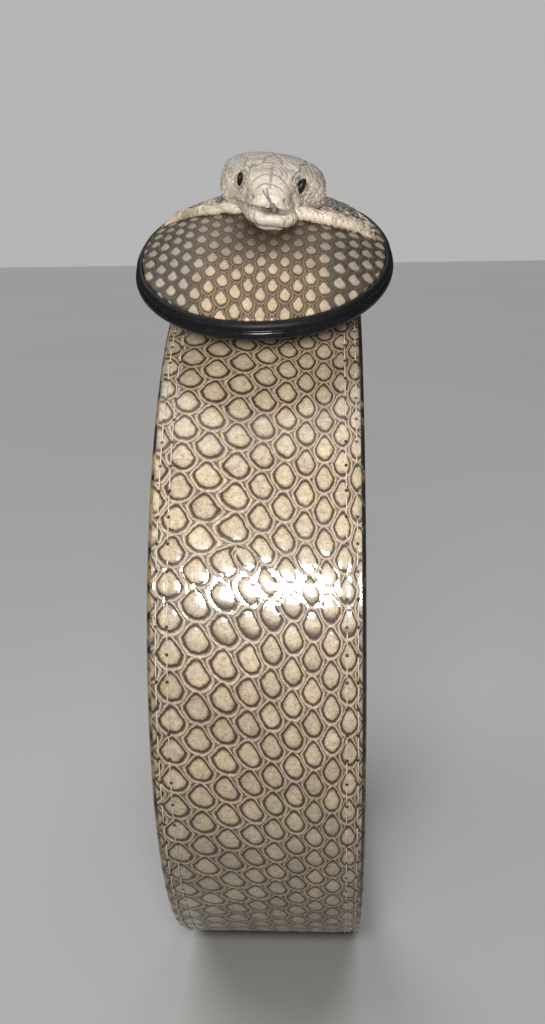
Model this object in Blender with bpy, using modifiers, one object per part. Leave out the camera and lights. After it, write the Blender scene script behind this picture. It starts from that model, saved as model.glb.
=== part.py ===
"""A snakeskin belt with a snake head buckle, rolled into a coil that stands on its edge.

The origin is the middle of the flat patch that the coil stands on. X runs across the strap,
-Y points to the front, where the strap shows its skin, and Z points up.
"""

import math

import bmesh
import bpy
from mathutils import Matrix, Vector

MM = 0.001
FIT_GAP = 0.3 * MM

# Strap, rolled from the buckle bar at the top, down the back, under and up the front
STRAP_WIDTH = 38.0 * MM
SKIN_THICK = 2.4 * MM
LINING_THICK = 1.1 * MM
LINING_INSET = 0.4 * MM
START_RADIUS = 76.9 * MM
TURN_PITCH = 4.9 * MM
END_TURN = 882.0
TURN_STEP = 5.0
TIP_TURN = 24.0
FLATTEN = 2.2 * MM
FLATTEN_BLEND = 0.8 * MM

# Fold of the strap round the buckle bar
BAR_TURN = -6.0
BAR_RADIUS = 76.6 * MM
WIRE_RADIUS = 1.3 * MM
FOLD_THICK = 1.6 * MM
FOLD_STEPS = 8
FOLD_END_TURN = 34.0
FOLD_SLACK_TURN = 26.0
FOLD_SETTLE_TURN = 64.0
SKIVE_TURN = 8.0
LINING_START_TURN = 5.5

# Buckle holes near the tip, and the snap caps that hold the fold
HOLE_RADIUS = 2.4 * MM
HOLE_COUNT = 5
FIRST_HOLE_BACK = 64.0
HOLE_STEP = 22.9
SNAP_TURN = 20.0
SNAP_SIDE = 9.5 * MM
SNAP_RADIUS = 4.6 * MM
SNAP_HEIGHT = 1.3 * MM

# Buckle plate: an oval, with its own axes across, along and out
PLATE_TILT = 22.0
PLATE_OUT = 82.0 * MM
PLATE_BACK = 7.0 * MM
HALF_WIDTH = 25.2 * MM
HALF_LENGTH = 30.5 * MM
OVAL_POWER = 2.1
OVAL_STEPS = 32
COVER_INSET = 1.6 * MM
COVER_BASE = -0.9 * MM
COVER_EDGE = 1.7 * MM
DOME_HEIGHT = 7.0 * MM
DOME_POWER = 2.1
RIM_BOTTOM = -2.0 * MM
BACK_TOP = -1.2 * MM
BACK_THICK = 1.6 * MM
BACK_INSET = 3.2 * MM

# Loop and stud behind the plate
LOOP_HALF_WIDTH = 21.0 * MM
LOOP_CORNER = 2.6 * MM
STUD_ALONG = -13.0 * MM
STUD_RADIUS = 1.9 * MM
STUD_HEAD_RADIUS = 3.2 * MM
STUD_LENGTH = 6.0 * MM

# Snake head, measured from the middle of the mouth
MOUTH_PLACE = (2.2 * MM, -6.5 * MM, 12.4 * MM)
HEAD_PITCH = 14.0
HEAD_YAW = 5.0
HEAD_ROLL = 8.0
HEAD_LENGTH = 26.0 * MM
HEAD_STEPS = 16
EYE_SIDE = 5.3 * MM
EYE_BACK = 8.4 * MM
EYE_HEIGHT = 3.9 * MM
EYE_RADII = (1.5 * MM, 1.3 * MM, 1.6 * MM)
MOUTH_SLOT = (7.6 * MM, 6.0 * MM, 1.1 * MM)
TONGUE_RADIUS = 0.5 * MM

# Hood: the skin of the neck, spread over the back of the plate, with a rolled front edge
HOOD_LEFT = -20.6 * MM
HOOD_RIGHT = 21.6 * MM
HOOD_POINT = (6.0 * MM, -2.0 * MM)
HOOD_SWEEP_LEFT = 0.0855
HOOD_SWEEP_RIGHT = 0.05
HOOD_SWEEP_POWER = 1.5
HOOD_EDGE_INSET = 2.5 * MM
HOOD_THICK = 2.3 * MM
NECK_HALF_WIDTH = 8.5 * MM
NECK_RISE = 7.0 * MM
HOOD_STATIONS = 16


def smooth_step(value):
    t = min(max(value, 0.0), 1.0)
    return t * t * (3.0 - 2.0 * t)


def soft_min(a, b, blend):
    return min(a, b) - max(blend - abs(a - b), 0.0) ** 2 / (4.0 * blend)


def skin_radius(turn):
    """Radius of the strap's skin face, so many degrees along the coil from the bar."""
    rise = BAR_RADIUS + WIRE_RADIUS + FIT_GAP + FOLD_THICK - START_RADIUS
    settled = smooth_step((turn - FOLD_SLACK_TURN) / FOLD_SETTLE_TURN)
    return START_RADIUS - TURN_PITCH * turn / 360.0 + rise * (1.0 - settled)


CENTRE_HEIGHT = skin_radius(180.0 - BAR_TURN) - FLATTEN


def coil_point(turn, depth):
    """A point so deep below the skin face, in the plane across X, flattened at the bottom."""
    radius = skin_radius(turn) - depth
    angle = turn + BAR_TURN
    bottom_turn = 360.0 * math.floor(angle / 360.0) + 180.0 - BAR_TURN
    level = skin_radius(bottom_turn) - depth - FLATTEN
    drop = soft_min(-radius * math.cos(math.radians(angle)), level, FLATTEN_BLEND)
    return Vector((0.0, radius * math.sin(math.radians(angle)), CENTRE_HEIGHT - drop))


def ring_point(turn, radius):
    angle = math.radians(turn + BAR_TURN)
    return Vector((0.0, radius * math.sin(angle), CENTRE_HEIGHT + radius * math.cos(angle)))


BAR_CENTRE = ring_point(0.0, BAR_RADIUS)


def turns_between(first, last, step):
    count = max(1, round((last - first) / step))
    return [first + (last - first) * i / count for i in range(count + 1)]


def tip_width(turn):
    """Half the strap's width, rounded off towards the tip."""
    along = max(0.0, (turn - END_TURN + TIP_TURN) / TIP_TURN)
    return 0.5 * STRAP_WIDTH * math.sqrt(1.0 - 0.97 * along ** 2.2)


def main_turns(first, last):
    """Even steps along the coil, then closer ones round the tip."""
    tip_start = END_TURN - TIP_TURN
    tip = [0.3, 0.55, 0.75, 0.89, 0.97, 1.0]
    return turns_between(first, tip_start, TURN_STEP) + [
        tip_start + (last - tip_start) * part for part in tip
    ]


def fold_stations():
    """Pairs of inner and skin-face points: the free end below, then round the bar."""
    near = WIRE_RADIUS + FIT_GAP
    far = near + FOLD_THICK
    pairs = [
        (ring_point(turn, BAR_RADIUS - near), ring_point(turn, BAR_RADIUS - far))
        for turn in reversed(turns_between(2.0, FOLD_END_TURN, TURN_STEP))
    ]
    for step in range(FOLD_STEPS + 1):
        angle = math.radians(BAR_TURN) - math.pi * (1.0 - step / FOLD_STEPS)
        away = Vector((0.0, math.sin(angle), math.cos(angle)))
        pairs.append((BAR_CENTRE + away * near, BAR_CENTRE + away * far))
    return pairs


def skin_profile(half_width):
    """Across the strap and up its thickness: flat below, crowned on the skin side."""
    edge = [(0.5 * MM, 0.0), (0.0, 0.15), (0.0, 0.62), (1.3 * MM, 0.9), (5.7 * MM, 1.0)]
    right = [(half_width - min(inset, 0.8 * half_width), up) for inset, up in edge]
    return right + [(-x, up) for x, up in reversed(right)]


def lining_profile(half_width):
    side = half_width - LINING_INSET
    return [(side, 0.0), (side, 1.0), (-side, 1.0), (-side, 0.0)]


def strap_ring(inner, outer, profile):
    return [inner + (outer - inner) * up + Vector((x, 0.0, 0.0)) for x, up in profile]


def plate_matrix():
    tilt = math.radians(PLATE_TILT)
    along = Vector((0.0, math.cos(tilt), math.sin(tilt)))
    out = Vector((0.0, -math.sin(tilt), math.cos(tilt)))
    turned = Matrix((Vector((1.0, 0.0, 0.0)), along, out)).transposed().to_4x4()
    centre = Vector((0.0, 0.0, CENTRE_HEIGHT)) + out * PLATE_OUT + along * PLATE_BACK
    return Matrix.Translation(centre) @ turned


PLATE = plate_matrix()


def head_matrix():
    turned = (
        Matrix.Rotation(math.radians(-HEAD_YAW), 4, "Z")
        @ Matrix.Rotation(math.radians(HEAD_PITCH), 4, "X")
        @ Matrix.Rotation(math.radians(HEAD_ROLL), 4, "Y")
    )
    return Matrix.Translation(PLATE @ Vector(MOUTH_PLACE)) @ turned


def oval_point(angle, inset):
    """A point of the plate's outline, drawn in by inset."""
    across = math.cos(angle)
    along = math.sin(angle)
    power = 2.0 / OVAL_POWER
    return (
        (HALF_WIDTH - inset) * math.copysign(abs(across) ** power, across),
        (HALF_LENGTH - inset) * math.copysign(abs(along) ** power, along),
    )


def oval_ring(inset, out, shrink=1.0):
    ring = []
    for step in range(OVAL_STEPS):
        x, y = oval_point(2.0 * math.pi * step / OVAL_STEPS, inset)
        ring.append(PLATE @ Vector((x * shrink, y * shrink, out)))
    return ring


def dome_out(x, y):
    """Height of the domed cover above the middle plane of the rim."""
    a = abs(x) / (HALF_WIDTH - COVER_INSET)
    b = abs(y) / (HALF_LENGTH - COVER_INSET)
    reach = min(1.0, (a**OVAL_POWER + b**OVAL_POWER) ** (1.0 / OVAL_POWER))
    return COVER_EDGE + DOME_HEIGHT * (1.0 - reach**DOME_POWER)


def material(name, colour, roughness, metallic=0.0):
    made = bpy.data.materials.new(name)
    made.use_nodes = True
    shader = made.node_tree.nodes["Principled BSDF"]
    shader.inputs["Base Color"].default_value = (*colour, 1.0)
    shader.inputs["Roughness"].default_value = roughness
    shader.inputs["Metallic"].default_value = metallic
    made.diffuse_color = (*colour, 1.0)
    return made


def add_mesh(name, build, finish, collection):
    """A bmesh made an object, with its faces turned outwards and its round parts smooth."""
    bmesh.ops.recalc_face_normals(build, faces=build.faces)
    mesh = bpy.data.meshes.new(name)
    build.to_mesh(mesh)
    build.free()
    mesh.shade_smooth()
    mesh.set_sharp_from_angle(angle=math.radians(40.0))
    if finish:
        mesh.materials.append(finish)
    made = bpy.data.objects.new(name, mesh)
    collection.objects.link(made)
    return made


def loft(name, rings, finish, collection, closed=False):
    """A solid through rings of as many points each, capped at both ends or closed round."""
    build = bmesh.new()
    rows = [[build.verts.new(point) for point in ring] for ring in rings]
    pairs = list(zip(rows, rows[1:]))
    if closed:
        pairs.append((rows[-1], rows[0]))
    else:
        build.faces.new(rows[0])
        build.faces.new(list(reversed(rows[-1])))
    for low, high in pairs:
        for i in range(len(low)):
            j = (i + 1) % len(low)
            build.faces.new((low[i], high[i], high[j], low[j]))
    return add_mesh(name, build, finish, collection)


def cutter(made):
    made.hide_render = True
    made.display_type = "WIRE"
    return made


def apply_boolean(target, tool, operation):
    modifier = target.modifiers.new(operation.title(), "BOOLEAN")
    modifier.operation = operation
    modifier.solver = "EXACT"
    modifier.object = tool


def make_strap(parts, guides, skin, lining):
    rings = []
    for inner, outer in fold_stations():
        rings.append(strap_ring(inner, outer, skin_profile(0.5 * STRAP_WIDTH)))
    for turn in main_turns(2.5, END_TURN):
        thick = FOLD_THICK + (SKIN_THICK - FOLD_THICK) * smooth_step(turn / SKIVE_TURN)
        profile = skin_profile(tip_width(turn))
        rings.append(strap_ring(coil_point(turn, thick), coil_point(turn, 0.0), profile))
    strap_skin = loft("strap_skin", rings, skin, parts)

    top = SKIN_THICK + FIT_GAP
    rings = []
    for turn in main_turns(LINING_START_TURN, END_TURN - 0.8):
        profile = lining_profile(tip_width(turn))
        low = coil_point(turn, top + LINING_THICK)
        rings.append(strap_ring(low, coil_point(turn, top), profile))
    strap_lining = loft("strap_lining", rings, lining, parts)

    holes = make_hole_cutter(guides)
    apply_boolean(strap_skin, holes, "DIFFERENCE")
    apply_boolean(strap_lining, holes, "DIFFERENCE")


def make_hole_cutter(guides):
    build = bmesh.new()
    total = SKIN_THICK + FIT_GAP + LINING_THICK
    clear = 0.6 * MM
    for number in range(HOLE_COUNT):
        turn = END_TURN - FIRST_HOLE_BACK - HOLE_STEP * number
        middle = ring_point(turn, skin_radius(turn) - 0.5 * total)
        turned = Matrix.Rotation(math.radians(-(turn + BAR_TURN)), 4, "X")
        bmesh.ops.create_cone(
            build,
            cap_ends=True,
            segments=12,
            radius1=HOLE_RADIUS,
            radius2=HOLE_RADIUS,
            depth=total + 2.0 * clear,
            matrix=Matrix.Translation(middle) @ turned,
        )
    return cutter(add_mesh("hole_cutter", build, None, guides))


def turned_solid(name, profile, matrix, finish, collection):
    """A round solid: a profile of radius and height, top to bottom, turned with a Screw."""
    mesh = bpy.data.meshes.new(name)
    points = [(radius, 0.0, height) for radius, height in profile]
    mesh.from_pydata(points, [(i, i + 1) for i in range(len(points) - 1)], [])
    mesh.materials.append(finish)
    made = bpy.data.objects.new(name, mesh)
    made.matrix_world = matrix
    collection.objects.link(made)
    screw = made.modifiers.new("Screw", "SCREW")
    screw.axis = "Z"
    screw.steps = 16
    screw.render_steps = 16
    screw.use_merge_vertices = True
    screw.merge_threshold = 0.01 * MM
    screw.use_smooth_shade = True
    return made


def make_snap_caps(parts, metal):
    surface = ring_point(SNAP_TURN, skin_radius(SNAP_TURN) + FIT_GAP)
    turned = Matrix.Rotation(math.radians(-(SNAP_TURN + BAR_TURN)), 4, "X")
    profile = [
        (0.0, SNAP_HEIGHT),
        (0.55 * SNAP_RADIUS, 0.9 * SNAP_HEIGHT),
        (0.9 * SNAP_RADIUS, 0.55 * SNAP_HEIGHT),
        (SNAP_RADIUS, 0.1 * SNAP_HEIGHT),
        (0.94 * SNAP_RADIUS, 0.0),
        (0.0, 0.0),
    ]
    for name, side in (("snap_cap_left", -SNAP_SIDE), ("snap_cap_right", SNAP_SIDE)):
        place = Matrix.Translation(surface + Vector((side, 0.0, 0.0))) @ turned
        turned_solid(name, profile, place, metal, parts)


def make_rim(parts, black):
    """The black edging: a round bead with a lip below that holds the plate."""
    section = [(2.4, -2.0), (0.8, -2.0), (0.2, -1.6), (0.0, -0.9), (0.1, -0.1)]
    section += [(0.4, 0.65), (0.8, 1.2), (1.3, 1.45), (1.3, -1.2), (2.4, -1.2)]
    rings = []
    for step in range(OVAL_STEPS):
        ring = []
        for inset, out in section:
            x, y = oval_point(2.0 * math.pi * step / OVAL_STEPS, inset * MM)
            ring.append(PLATE @ Vector((x, y, out * MM)))
        rings.append(ring)
    loft("buckle_rim", rings, black, parts, closed=True)


def make_cover(parts, skin):
    rings = [oval_ring(COVER_INSET, COVER_BASE), oval_ring(COVER_INSET, COVER_EDGE)]
    for reach in (0.92, 0.8, 0.65, 0.48, 0.3, 0.13):
        out = COVER_EDGE + DOME_HEIGHT * (1.0 - reach**DOME_POWER)
        rings.append(oval_ring(COVER_INSET, out, reach))
    loft("buckle_cover", rings, skin, parts)


def make_back(parts, metal):
    low = BACK_TOP - BACK_THICK
    rings = [oval_ring(BACK_INSET, low), oval_ring(BACK_INSET, BACK_TOP)]
    loft("buckle_back", rings, metal, parts)


def tube(name, points, radius, resolution, collection, finish):
    """A closed mesh tube along points, from a curve with filled ends."""
    curve = bpy.data.curves.new(name, "CURVE")
    curve.dimensions = "3D"
    curve.bevel_depth = radius
    curve.bevel_resolution = resolution
    curve.use_fill_caps = True
    spline = curve.splines.new("POLY")
    spline.points.add(len(points) - 1)
    for slot, point in zip(spline.points, points):
        slot.co = (*point, 1.0)
    guide = bpy.data.objects.new(name + "_path", curve)
    collection.objects.link(guide)
    evaluated = guide.evaluated_get(bpy.context.evaluated_depsgraph_get())
    mesh = bpy.data.meshes.new_from_object(evaluated)
    build = bmesh.new()
    build.from_mesh(mesh)
    bmesh.ops.remove_doubles(build, verts=build.verts, dist=0.001 * MM)
    bpy.data.objects.remove(guide)
    return add_mesh(name, build, finish, collection)


def make_loop(parts, metal):
    """The wire loop that the strap folds round, with its legs up to the edging's lip."""
    bar = PLATE.inverted() @ BAR_CENTRE
    top = RIM_BOTTOM - FIT_GAP
    points = []
    for side in (-1.0, 1.0):
        leg = [Vector((side * LOOP_HALF_WIDTH, bar.y, top))]
        for step in range(5):
            angle = math.radians(22.5 * step)
            x = LOOP_HALF_WIDTH - LOOP_CORNER * (1.0 - math.cos(angle))
            out = bar.z + LOOP_CORNER * (1.0 - math.sin(angle))
            leg.append(Vector((side * x, bar.y, out)))
        points += leg if side < 0 else list(reversed(leg))
    tube("buckle_loop", [PLATE @ point for point in points], WIRE_RADIUS, 2, parts, metal)


def make_stud(parts, metal):
    """The stud that goes through a hole in the strap's tip, pointing inwards."""
    profile = [
        (0.0, STUD_LENGTH),
        (0.8 * STUD_HEAD_RADIUS, STUD_LENGTH),
        (STUD_HEAD_RADIUS, STUD_LENGTH - 0.4 * MM),
        (STUD_HEAD_RADIUS, STUD_LENGTH - 0.9 * MM),
        (STUD_RADIUS, STUD_LENGTH - 2.0 * MM),
        (STUD_RADIUS, 0.0),
        (0.0, 0.0),
    ]
    foot = Vector((0.0, STUD_ALONG, BACK_TOP - BACK_THICK - FIT_GAP))
    place = PLATE @ Matrix.Translation(foot) @ Matrix.Rotation(math.pi, 4, "X")
    turned_solid("hook_stud", profile, place, metal, parts)


def head_section(back, half_width, top, bottom):
    """One ring of the head, so far behind the snout: broad above, narrower at the jaw."""
    ring = []
    for step in range(HEAD_STEPS):
        angle = 2.0 * math.pi * step / HEAD_STEPS
        side = math.cos(angle)
        rise = math.sin(angle)
        squared = math.copysign(abs(rise) ** 0.8, rise)
        x = half_width * math.copysign(abs(side) ** 0.8, side)
        height = 0.5 * (top + bottom) + 0.5 * (top - bottom) * squared
        narrow = 1.0 - 0.22 * smooth_step(-rise)
        ring.append(Vector((x * narrow, back, height)))
    return ring


def head_rings():
    """Half width, top and bottom of the head, at parts of its length behind the snout."""
    rows = [
        (0.00, 1.8, 1.9, -1.2),
        (0.04, 3.5, 3.0, -2.3),
        (0.12, 4.5, 4.2, -2.9),
        (0.22, 5.4, 5.4, -3.0),
        (0.33, 6.7, 6.4, -3.0),
        (0.46, 8.6, 7.1, -3.0),
        (0.60, 10.0, 7.4, -3.2),
        (0.75, 10.4, 7.3, -3.6),
        (0.88, 9.5, 6.4, -4.2),
        (1.00, 7.6, 4.6, -4.8),
    ]
    place = head_matrix()
    rings = []
    for part, half_width, top, bottom in rows:
        back = part * HEAD_LENGTH
        ring = head_section(back, half_width * MM, top * MM, bottom * MM)
        rings.append([above_cover(place @ point) for point in ring])
    return rings


def above_cover(point):
    """The point itself, or the one just clear of the cover where it lies lower."""
    local = PLATE.inverted() @ point
    local.z = max(local.z, dome_out(local.x, local.y) + 1.2 * FIT_GAP)
    return PLATE @ local


def hood_front(x):
    """How far along the plate the hood's front fold lies, so far across it."""
    across, along = HOOD_POINT
    sweep = HOOD_SWEEP_LEFT if x < across else HOOD_SWEEP_RIGHT
    return along + sweep * MM * (abs(x - across) / MM) ** HOOD_SWEEP_POWER


def hood_rings():
    """Rings across the plate, each a slice of the hood from its front fold to its back edge."""
    rings = []
    steps = 6
    for station in range(HOOD_STATIONS + 1):
        x = HOOD_LEFT + (HOOD_RIGHT - HOOD_LEFT) * station / HOOD_STATIONS
        front = hood_front(x)
        reach = 1.0 - (abs(x) / (HALF_WIDTH - HOOD_EDGE_INSET)) ** OVAL_POWER
        back = (HALF_LENGTH - HOOD_EDGE_INSET) * reach ** (1.0 / OVAL_POWER)
        back = max(back, front + 1.0 * MM)
        low = []
        high = []
        for step in range(steps + 1):
            part = step / steps
            y = front + (back - front) * part
            floor = dome_out(x, y) + 1.2 * FIT_GAP
            neck = math.exp(-((x / NECK_HALF_WIDTH) ** 2))
            neck *= math.sin(math.pi * max(part - 0.12, 0.0) / 0.88)
            low.append(Vector((x, y, floor)))
            high.append(Vector((x, y, floor + HOOD_THICK * (1.0 - 0.55 * part) + NECK_RISE * neck)))
        rings.append([PLATE @ point for point in low + list(reversed(high))])
    return rings


def make_head(parts, guides, skin, horn, flesh):
    head = loft("snake_head", head_rings(), skin, parts)
    hood = cutter(loft("hood_form", hood_rings(), skin, guides))
    apply_boolean(head, hood, "UNION")
    place = head_matrix()

    build = bmesh.new()
    slot_middle = Matrix.Translation((0.0, 0.5 * MOUTH_SLOT[1] - 1.0 * MM, 0.0))
    slot_size = Matrix.Diagonal((*MOUTH_SLOT, 1.0))
    bmesh.ops.create_cube(build, size=1.0, matrix=place @ slot_middle @ slot_size)
    apply_boolean(head, cutter(add_mesh("mouth_cutter", build, None, guides)), "DIFFERENCE")

    for name, side in (("left_eye", -1.0), ("right_eye", 1.0)):
        middle = Matrix.Translation((side * EYE_SIDE, EYE_BACK, EYE_HEIGHT))
        for label, extra in ((name, 0.0), (name + "_cutter", FIT_GAP)):
            build = bmesh.new()
            size = Matrix.Diagonal([radius + extra for radius in EYE_RADII] + [1.0])
            bmesh.ops.create_uvsphere(
                build, u_segments=12, v_segments=8, radius=1.0, matrix=place @ middle @ size
            )
            if extra:
                socket = cutter(add_mesh(label, build, None, guides))
                apply_boolean(head, socket, "DIFFERENCE")
            else:
                add_mesh(label, build, horn, parts)
    make_tongue(parts, guides, place, flesh)


def make_tongue(parts, guides, place, flesh):
    """A dried tongue that leaves the mouth, turns up in front of the snout and forks."""
    stem = [(0.0, 2.6, 0.0), (0.0, 0.4, 0.0), (-0.1, -1.3, 0.4), (-0.3, -1.6, 1.4), (-0.5, -1.3, 2.2)]
    left = [(-0.9, -1.2, 3.0), (-1.6, -0.9, 4.0), (-2.1, -0.8, 4.9)]
    right = [(-0.3, -1.2, 3.0), (-0.8, -0.9, 4.2), (-1.2, -0.7, 5.4)]
    paths = []
    for points in (stem + left, stem[2:] + right):
        paths.append([place @ (Vector(point) * MM) for point in points])
    tongue = tube("tongue", paths[0], TONGUE_RADIUS, 1, parts, flesh)
    tine = cutter(tube("tine_form", paths[1], 0.9 * TONGUE_RADIUS, 1, guides, None))
    apply_boolean(tongue, tine, "UNION")


def main():
    for old in list(bpy.data.objects):
        bpy.data.objects.remove(old)
    parts = bpy.data.collections.new("snakeskin_belt")
    guides = bpy.data.collections.new("cutters")
    for collection in (parts, guides):
        bpy.context.scene.collection.children.link(collection)

    strap_skin = material("glazed_snakeskin", (0.50, 0.43, 0.31), 0.3)
    lining = material("lining_leather", (0.10, 0.07, 0.05), 0.6)
    cover_skin = material("cover_snakeskin", (0.48, 0.43, 0.34), 0.35)
    head_skin = material("bleached_head_skin", (0.72, 0.68, 0.60), 0.5)
    black = material("black_edging", (0.012, 0.012, 0.014), 0.25)
    steel = material("nickel_plate", (0.60, 0.60, 0.60), 0.3, 1.0)
    horn = material("black_eye", (0.01, 0.01, 0.01), 0.1)
    flesh = material("dried_tongue", (0.10, 0.08, 0.09), 0.6)

    make_strap(parts, guides, strap_skin, lining)
    make_snap_caps(parts, steel)
    make_rim(parts, black)
    make_cover(parts, cover_skin)
    make_back(parts, steel)
    make_loop(parts, steel)
    make_stud(parts, steel)
    make_head(parts, guides, head_skin, horn, flesh)


main()
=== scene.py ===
"""The looks of a rolled snakeskin belt with a snake head buckle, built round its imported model."""

import math

import bmesh
import bpy
import numpy as np
from mathutils import Matrix, Vector, noise

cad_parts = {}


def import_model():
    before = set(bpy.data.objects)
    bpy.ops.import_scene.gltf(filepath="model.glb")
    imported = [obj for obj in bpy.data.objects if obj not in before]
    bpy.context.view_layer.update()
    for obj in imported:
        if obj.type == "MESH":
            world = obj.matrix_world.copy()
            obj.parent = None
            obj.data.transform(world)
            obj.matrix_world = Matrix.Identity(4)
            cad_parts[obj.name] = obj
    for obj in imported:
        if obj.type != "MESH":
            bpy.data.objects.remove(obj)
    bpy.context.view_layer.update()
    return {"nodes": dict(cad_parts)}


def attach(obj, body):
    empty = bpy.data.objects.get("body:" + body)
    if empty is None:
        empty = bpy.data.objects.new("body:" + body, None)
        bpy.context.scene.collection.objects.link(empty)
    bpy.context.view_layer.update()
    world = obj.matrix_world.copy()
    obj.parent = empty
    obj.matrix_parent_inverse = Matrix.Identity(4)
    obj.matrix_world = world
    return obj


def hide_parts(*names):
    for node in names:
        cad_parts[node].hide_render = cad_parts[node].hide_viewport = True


MM = 0.001

# Strap, as the solid model has it
STRAP_WIDTH = 38.0
SKIN_THICK = 2.4
LINING_THICK = 1.1
FIT_GAP = 0.3
START_RADIUS = 76.9
TURN_PITCH = 4.9
END_TURN = 882.0
TIP_TURN = 24.0
FLATTEN = 2.2
FLATTEN_BLEND = 0.8
BAR_TURN = -6.0
BAR_RADIUS = 76.6
WIRE_RADIUS = 1.3
FOLD_THICK = 1.6
FOLD_END_TURN = 34.0
SLACK_TURN = 26.0
SETTLE_TURN = 64.0
SKIVE_TURN = 8.0
LINING_START = 5.5
FINE_TURN = 372.0
HOLE_RADIUS = 2.4
HOLE_COUNT = 5
FIRST_HOLE_BACK = 64.0
HOLE_STEP = 22.9

# Scales of the strap: the middles of the columns across it, and the pitch of a row along it
FIRST_COLUMN = -8
UPPER_PLACES = (-22.4, -17.7, -13.1, -8.3, -3.5, 0.9, 4.85, 8.5, 11.7, 15.0, 17.6, 20.3)
UPPER_LEANS = (0.05, 0.15, 0.24, 0.35, 0.56, 0.74, 0.93, 1.01, 1.03, 1.01, 0.95, 0.90)
LOWER_PLACES = (-19.4, -14.9, -10.2, -5.6, -1.2, 2.6, 6.3, 9.8, 13.0, 16.0, 18.8, 21.5)
LOWER_LEANS = (-0.30, -0.26, -0.13, 0.08, 0.39, 0.62, 0.78, 0.89, 0.92, 0.84, 0.80, 0.75)

# Where one column of scales splits in two: how far across, how far along, and its surroundings
SPLIT_SIDE = -3.4
SPLIT_SPREAD = 6.0
SPLIT_NEAR = (397.8, 2.4)
SPLIT_LEFT = (428.0, 38.0)
SPLIT_RIGHT = (402.0, 20.0)
ROW_PITCH = 5.88
ROW_PHASE = 0.35
FACE_HALF_WIDTH = 0.47
FACE_HALF_HEIGHT = 0.405
TAPER = 0.7
SMOKE_AT = 384.5

# Sewing
STITCH_PITCH = 4.8
STITCH_LENGTH = 4.0
THREAD_RADIUS = 0.12
SEAM_SIDES = (-17.3, -15.4, 15.6, 17.5)
SEWN_SHORT_OF_TIP = 16.0

# Buckle plate
PLATE_TILT = 22.0
PLATE_OUT = 82.0
PLATE_BACK = 7.0
HALF_WIDTH = 25.2
HALF_LENGTH = 30.5
OVAL_POWER = 2.1
COVER_INSET = 1.6
COVER_BASE = -0.9
COVER_EDGE = 1.7
DOME_HEIGHT = 7.0
DOME_POWER = 2.1
COVER_COLUMNS = (
    -24.0, -21.3, -18.8, -16.3, -14.0, -11.4, -8.9, -6.4, -4.0, -1.8,
    0.35, 2.5, 4.7, 7.1, 9.4, 11.9, 14.7, 17.3, 19.9, 22.5, 25.0,
)
FIRST_COVER_COLUMN = -10
COVER_ROW = 3.9
COVER_TAPER = 1.15

# Snake head, in its own axes from the middle of the mouth
MOUTH_PLACE = (1.2, -6.5, 12.4)
HEAD_PITCH = 14.0
HEAD_ROLL = 8.0
MOUTH_SIDE = 0.9

# Each eye's place in the head's axes, its radii and its tilt in degrees
LEFT_EYE = ((-5.98, 8.2, 3.3), (0.52, 0.85, 1.35), 3.0)
RIGHT_EYE = ((5.60, 8.2, 3.1), (0.86, 1.05, 1.85), 22.0)

# Hood: the skin of the neck, spread over the back of the plate behind a rolled fold
HOOD_LEFT = -20.6
HOOD_RIGHT = 21.6
HOOD_POINT = (6.0, -2.0)
HOOD_SWEEP_LEFT = 0.0855
HOOD_SWEEP_RIGHT = 0.05
HOOD_SWEEP_POWER = 1.5
HOOD_EDGE_INSET = 2.5
NECK_MIDDLE = 0.8
NECK_HALF = 7.2
NECK_RISE = 7.6

# Camera
SENSOR_WIDTH = 36.0
LENS_PIXELS = 1142.6
FRAME_HEIGHT = 1024
CAMERA_DISTANCE = 269.23
CAMERA_ELEVATION = 19.28
CENTRE_BELOW_AXIS = 4.204
CAMERA_SHIFT = -0.55
CAMERA_YAW = -3.04
CAMERA_ROLL = -0.93

# Light from all round, how bright the backdrop looks, and half the floor's width in metres
WORLD_LIGHT = 0.09
BACKDROP_LIGHT = 0.58
BACKDROP_GREY = (0.80, 0.80, 0.80, 1.0)
FLOOR_HALF = 3.0

# The light by the camera: watts, metres, degrees, mm above and left of it, and the height it faces
LAMP_POWER = 0.192
LAMP_SIZE = (0.055, 0.035)
LAMP_SPREAD = 90.0
LAMP_UP = 16.0
LAMP_LEFT = 12.0
LAMP_AIM = 140.0

# The room's soft light: strength, how soft in degrees, and its turn
ROOM_LIGHT = 2.1
ROOM_SOFTNESS = 75.0
ROOM_TURN = (-12.0, -10.0, 0.0)

# How finely the skin is divided: points across its face, and the length of a cell in mm
FRONT_CELLS = (84, 0.54)
FOLD_CELLS = (40, 1.2)
INNER_CELLS = (40, 2.0)
EDGE_STEPS = 6

# How finely the other pieces are divided; the cover's last number is its rings under the edge
BACKING_CELLS = 26
BACKING_ROWS = 520
COVER_GRID = (280, 170, 6)
RIM_ROWS = 420
HEAD_GRID = (300, 230)
HOOD_GRID = (300, 150)


def smooth(value):
    t = np.clip(value, 0.0, 1.0)
    return t * t * (3.0 - 2.0 * t)


def stacked(*parts):
    return np.stack(parts, axis=-1)


def soft_min(a, b, blend):
    return np.minimum(a, b) - np.maximum(blend - np.abs(a - b), 0.0) ** 2 / (4.0 * blend)


def bump_at(distance, width):
    """A smooth ridge of height 1 at distance 0."""
    return np.exp(-((distance / width) ** 2))


# The strap's path


def skin_radius(turn):
    """Radius of the skin face in mm, so many degrees along the coil from the bar."""
    rise = BAR_RADIUS + WIRE_RADIUS + FIT_GAP + FOLD_THICK - START_RADIUS
    settled = smooth((turn - SLACK_TURN) / SETTLE_TURN)
    return START_RADIUS - TURN_PITCH * turn / 360.0 + rise * (1.0 - settled)


CENTRE_HEIGHT = float(skin_radius(180.0 - BAR_TURN)) - FLATTEN


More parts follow.
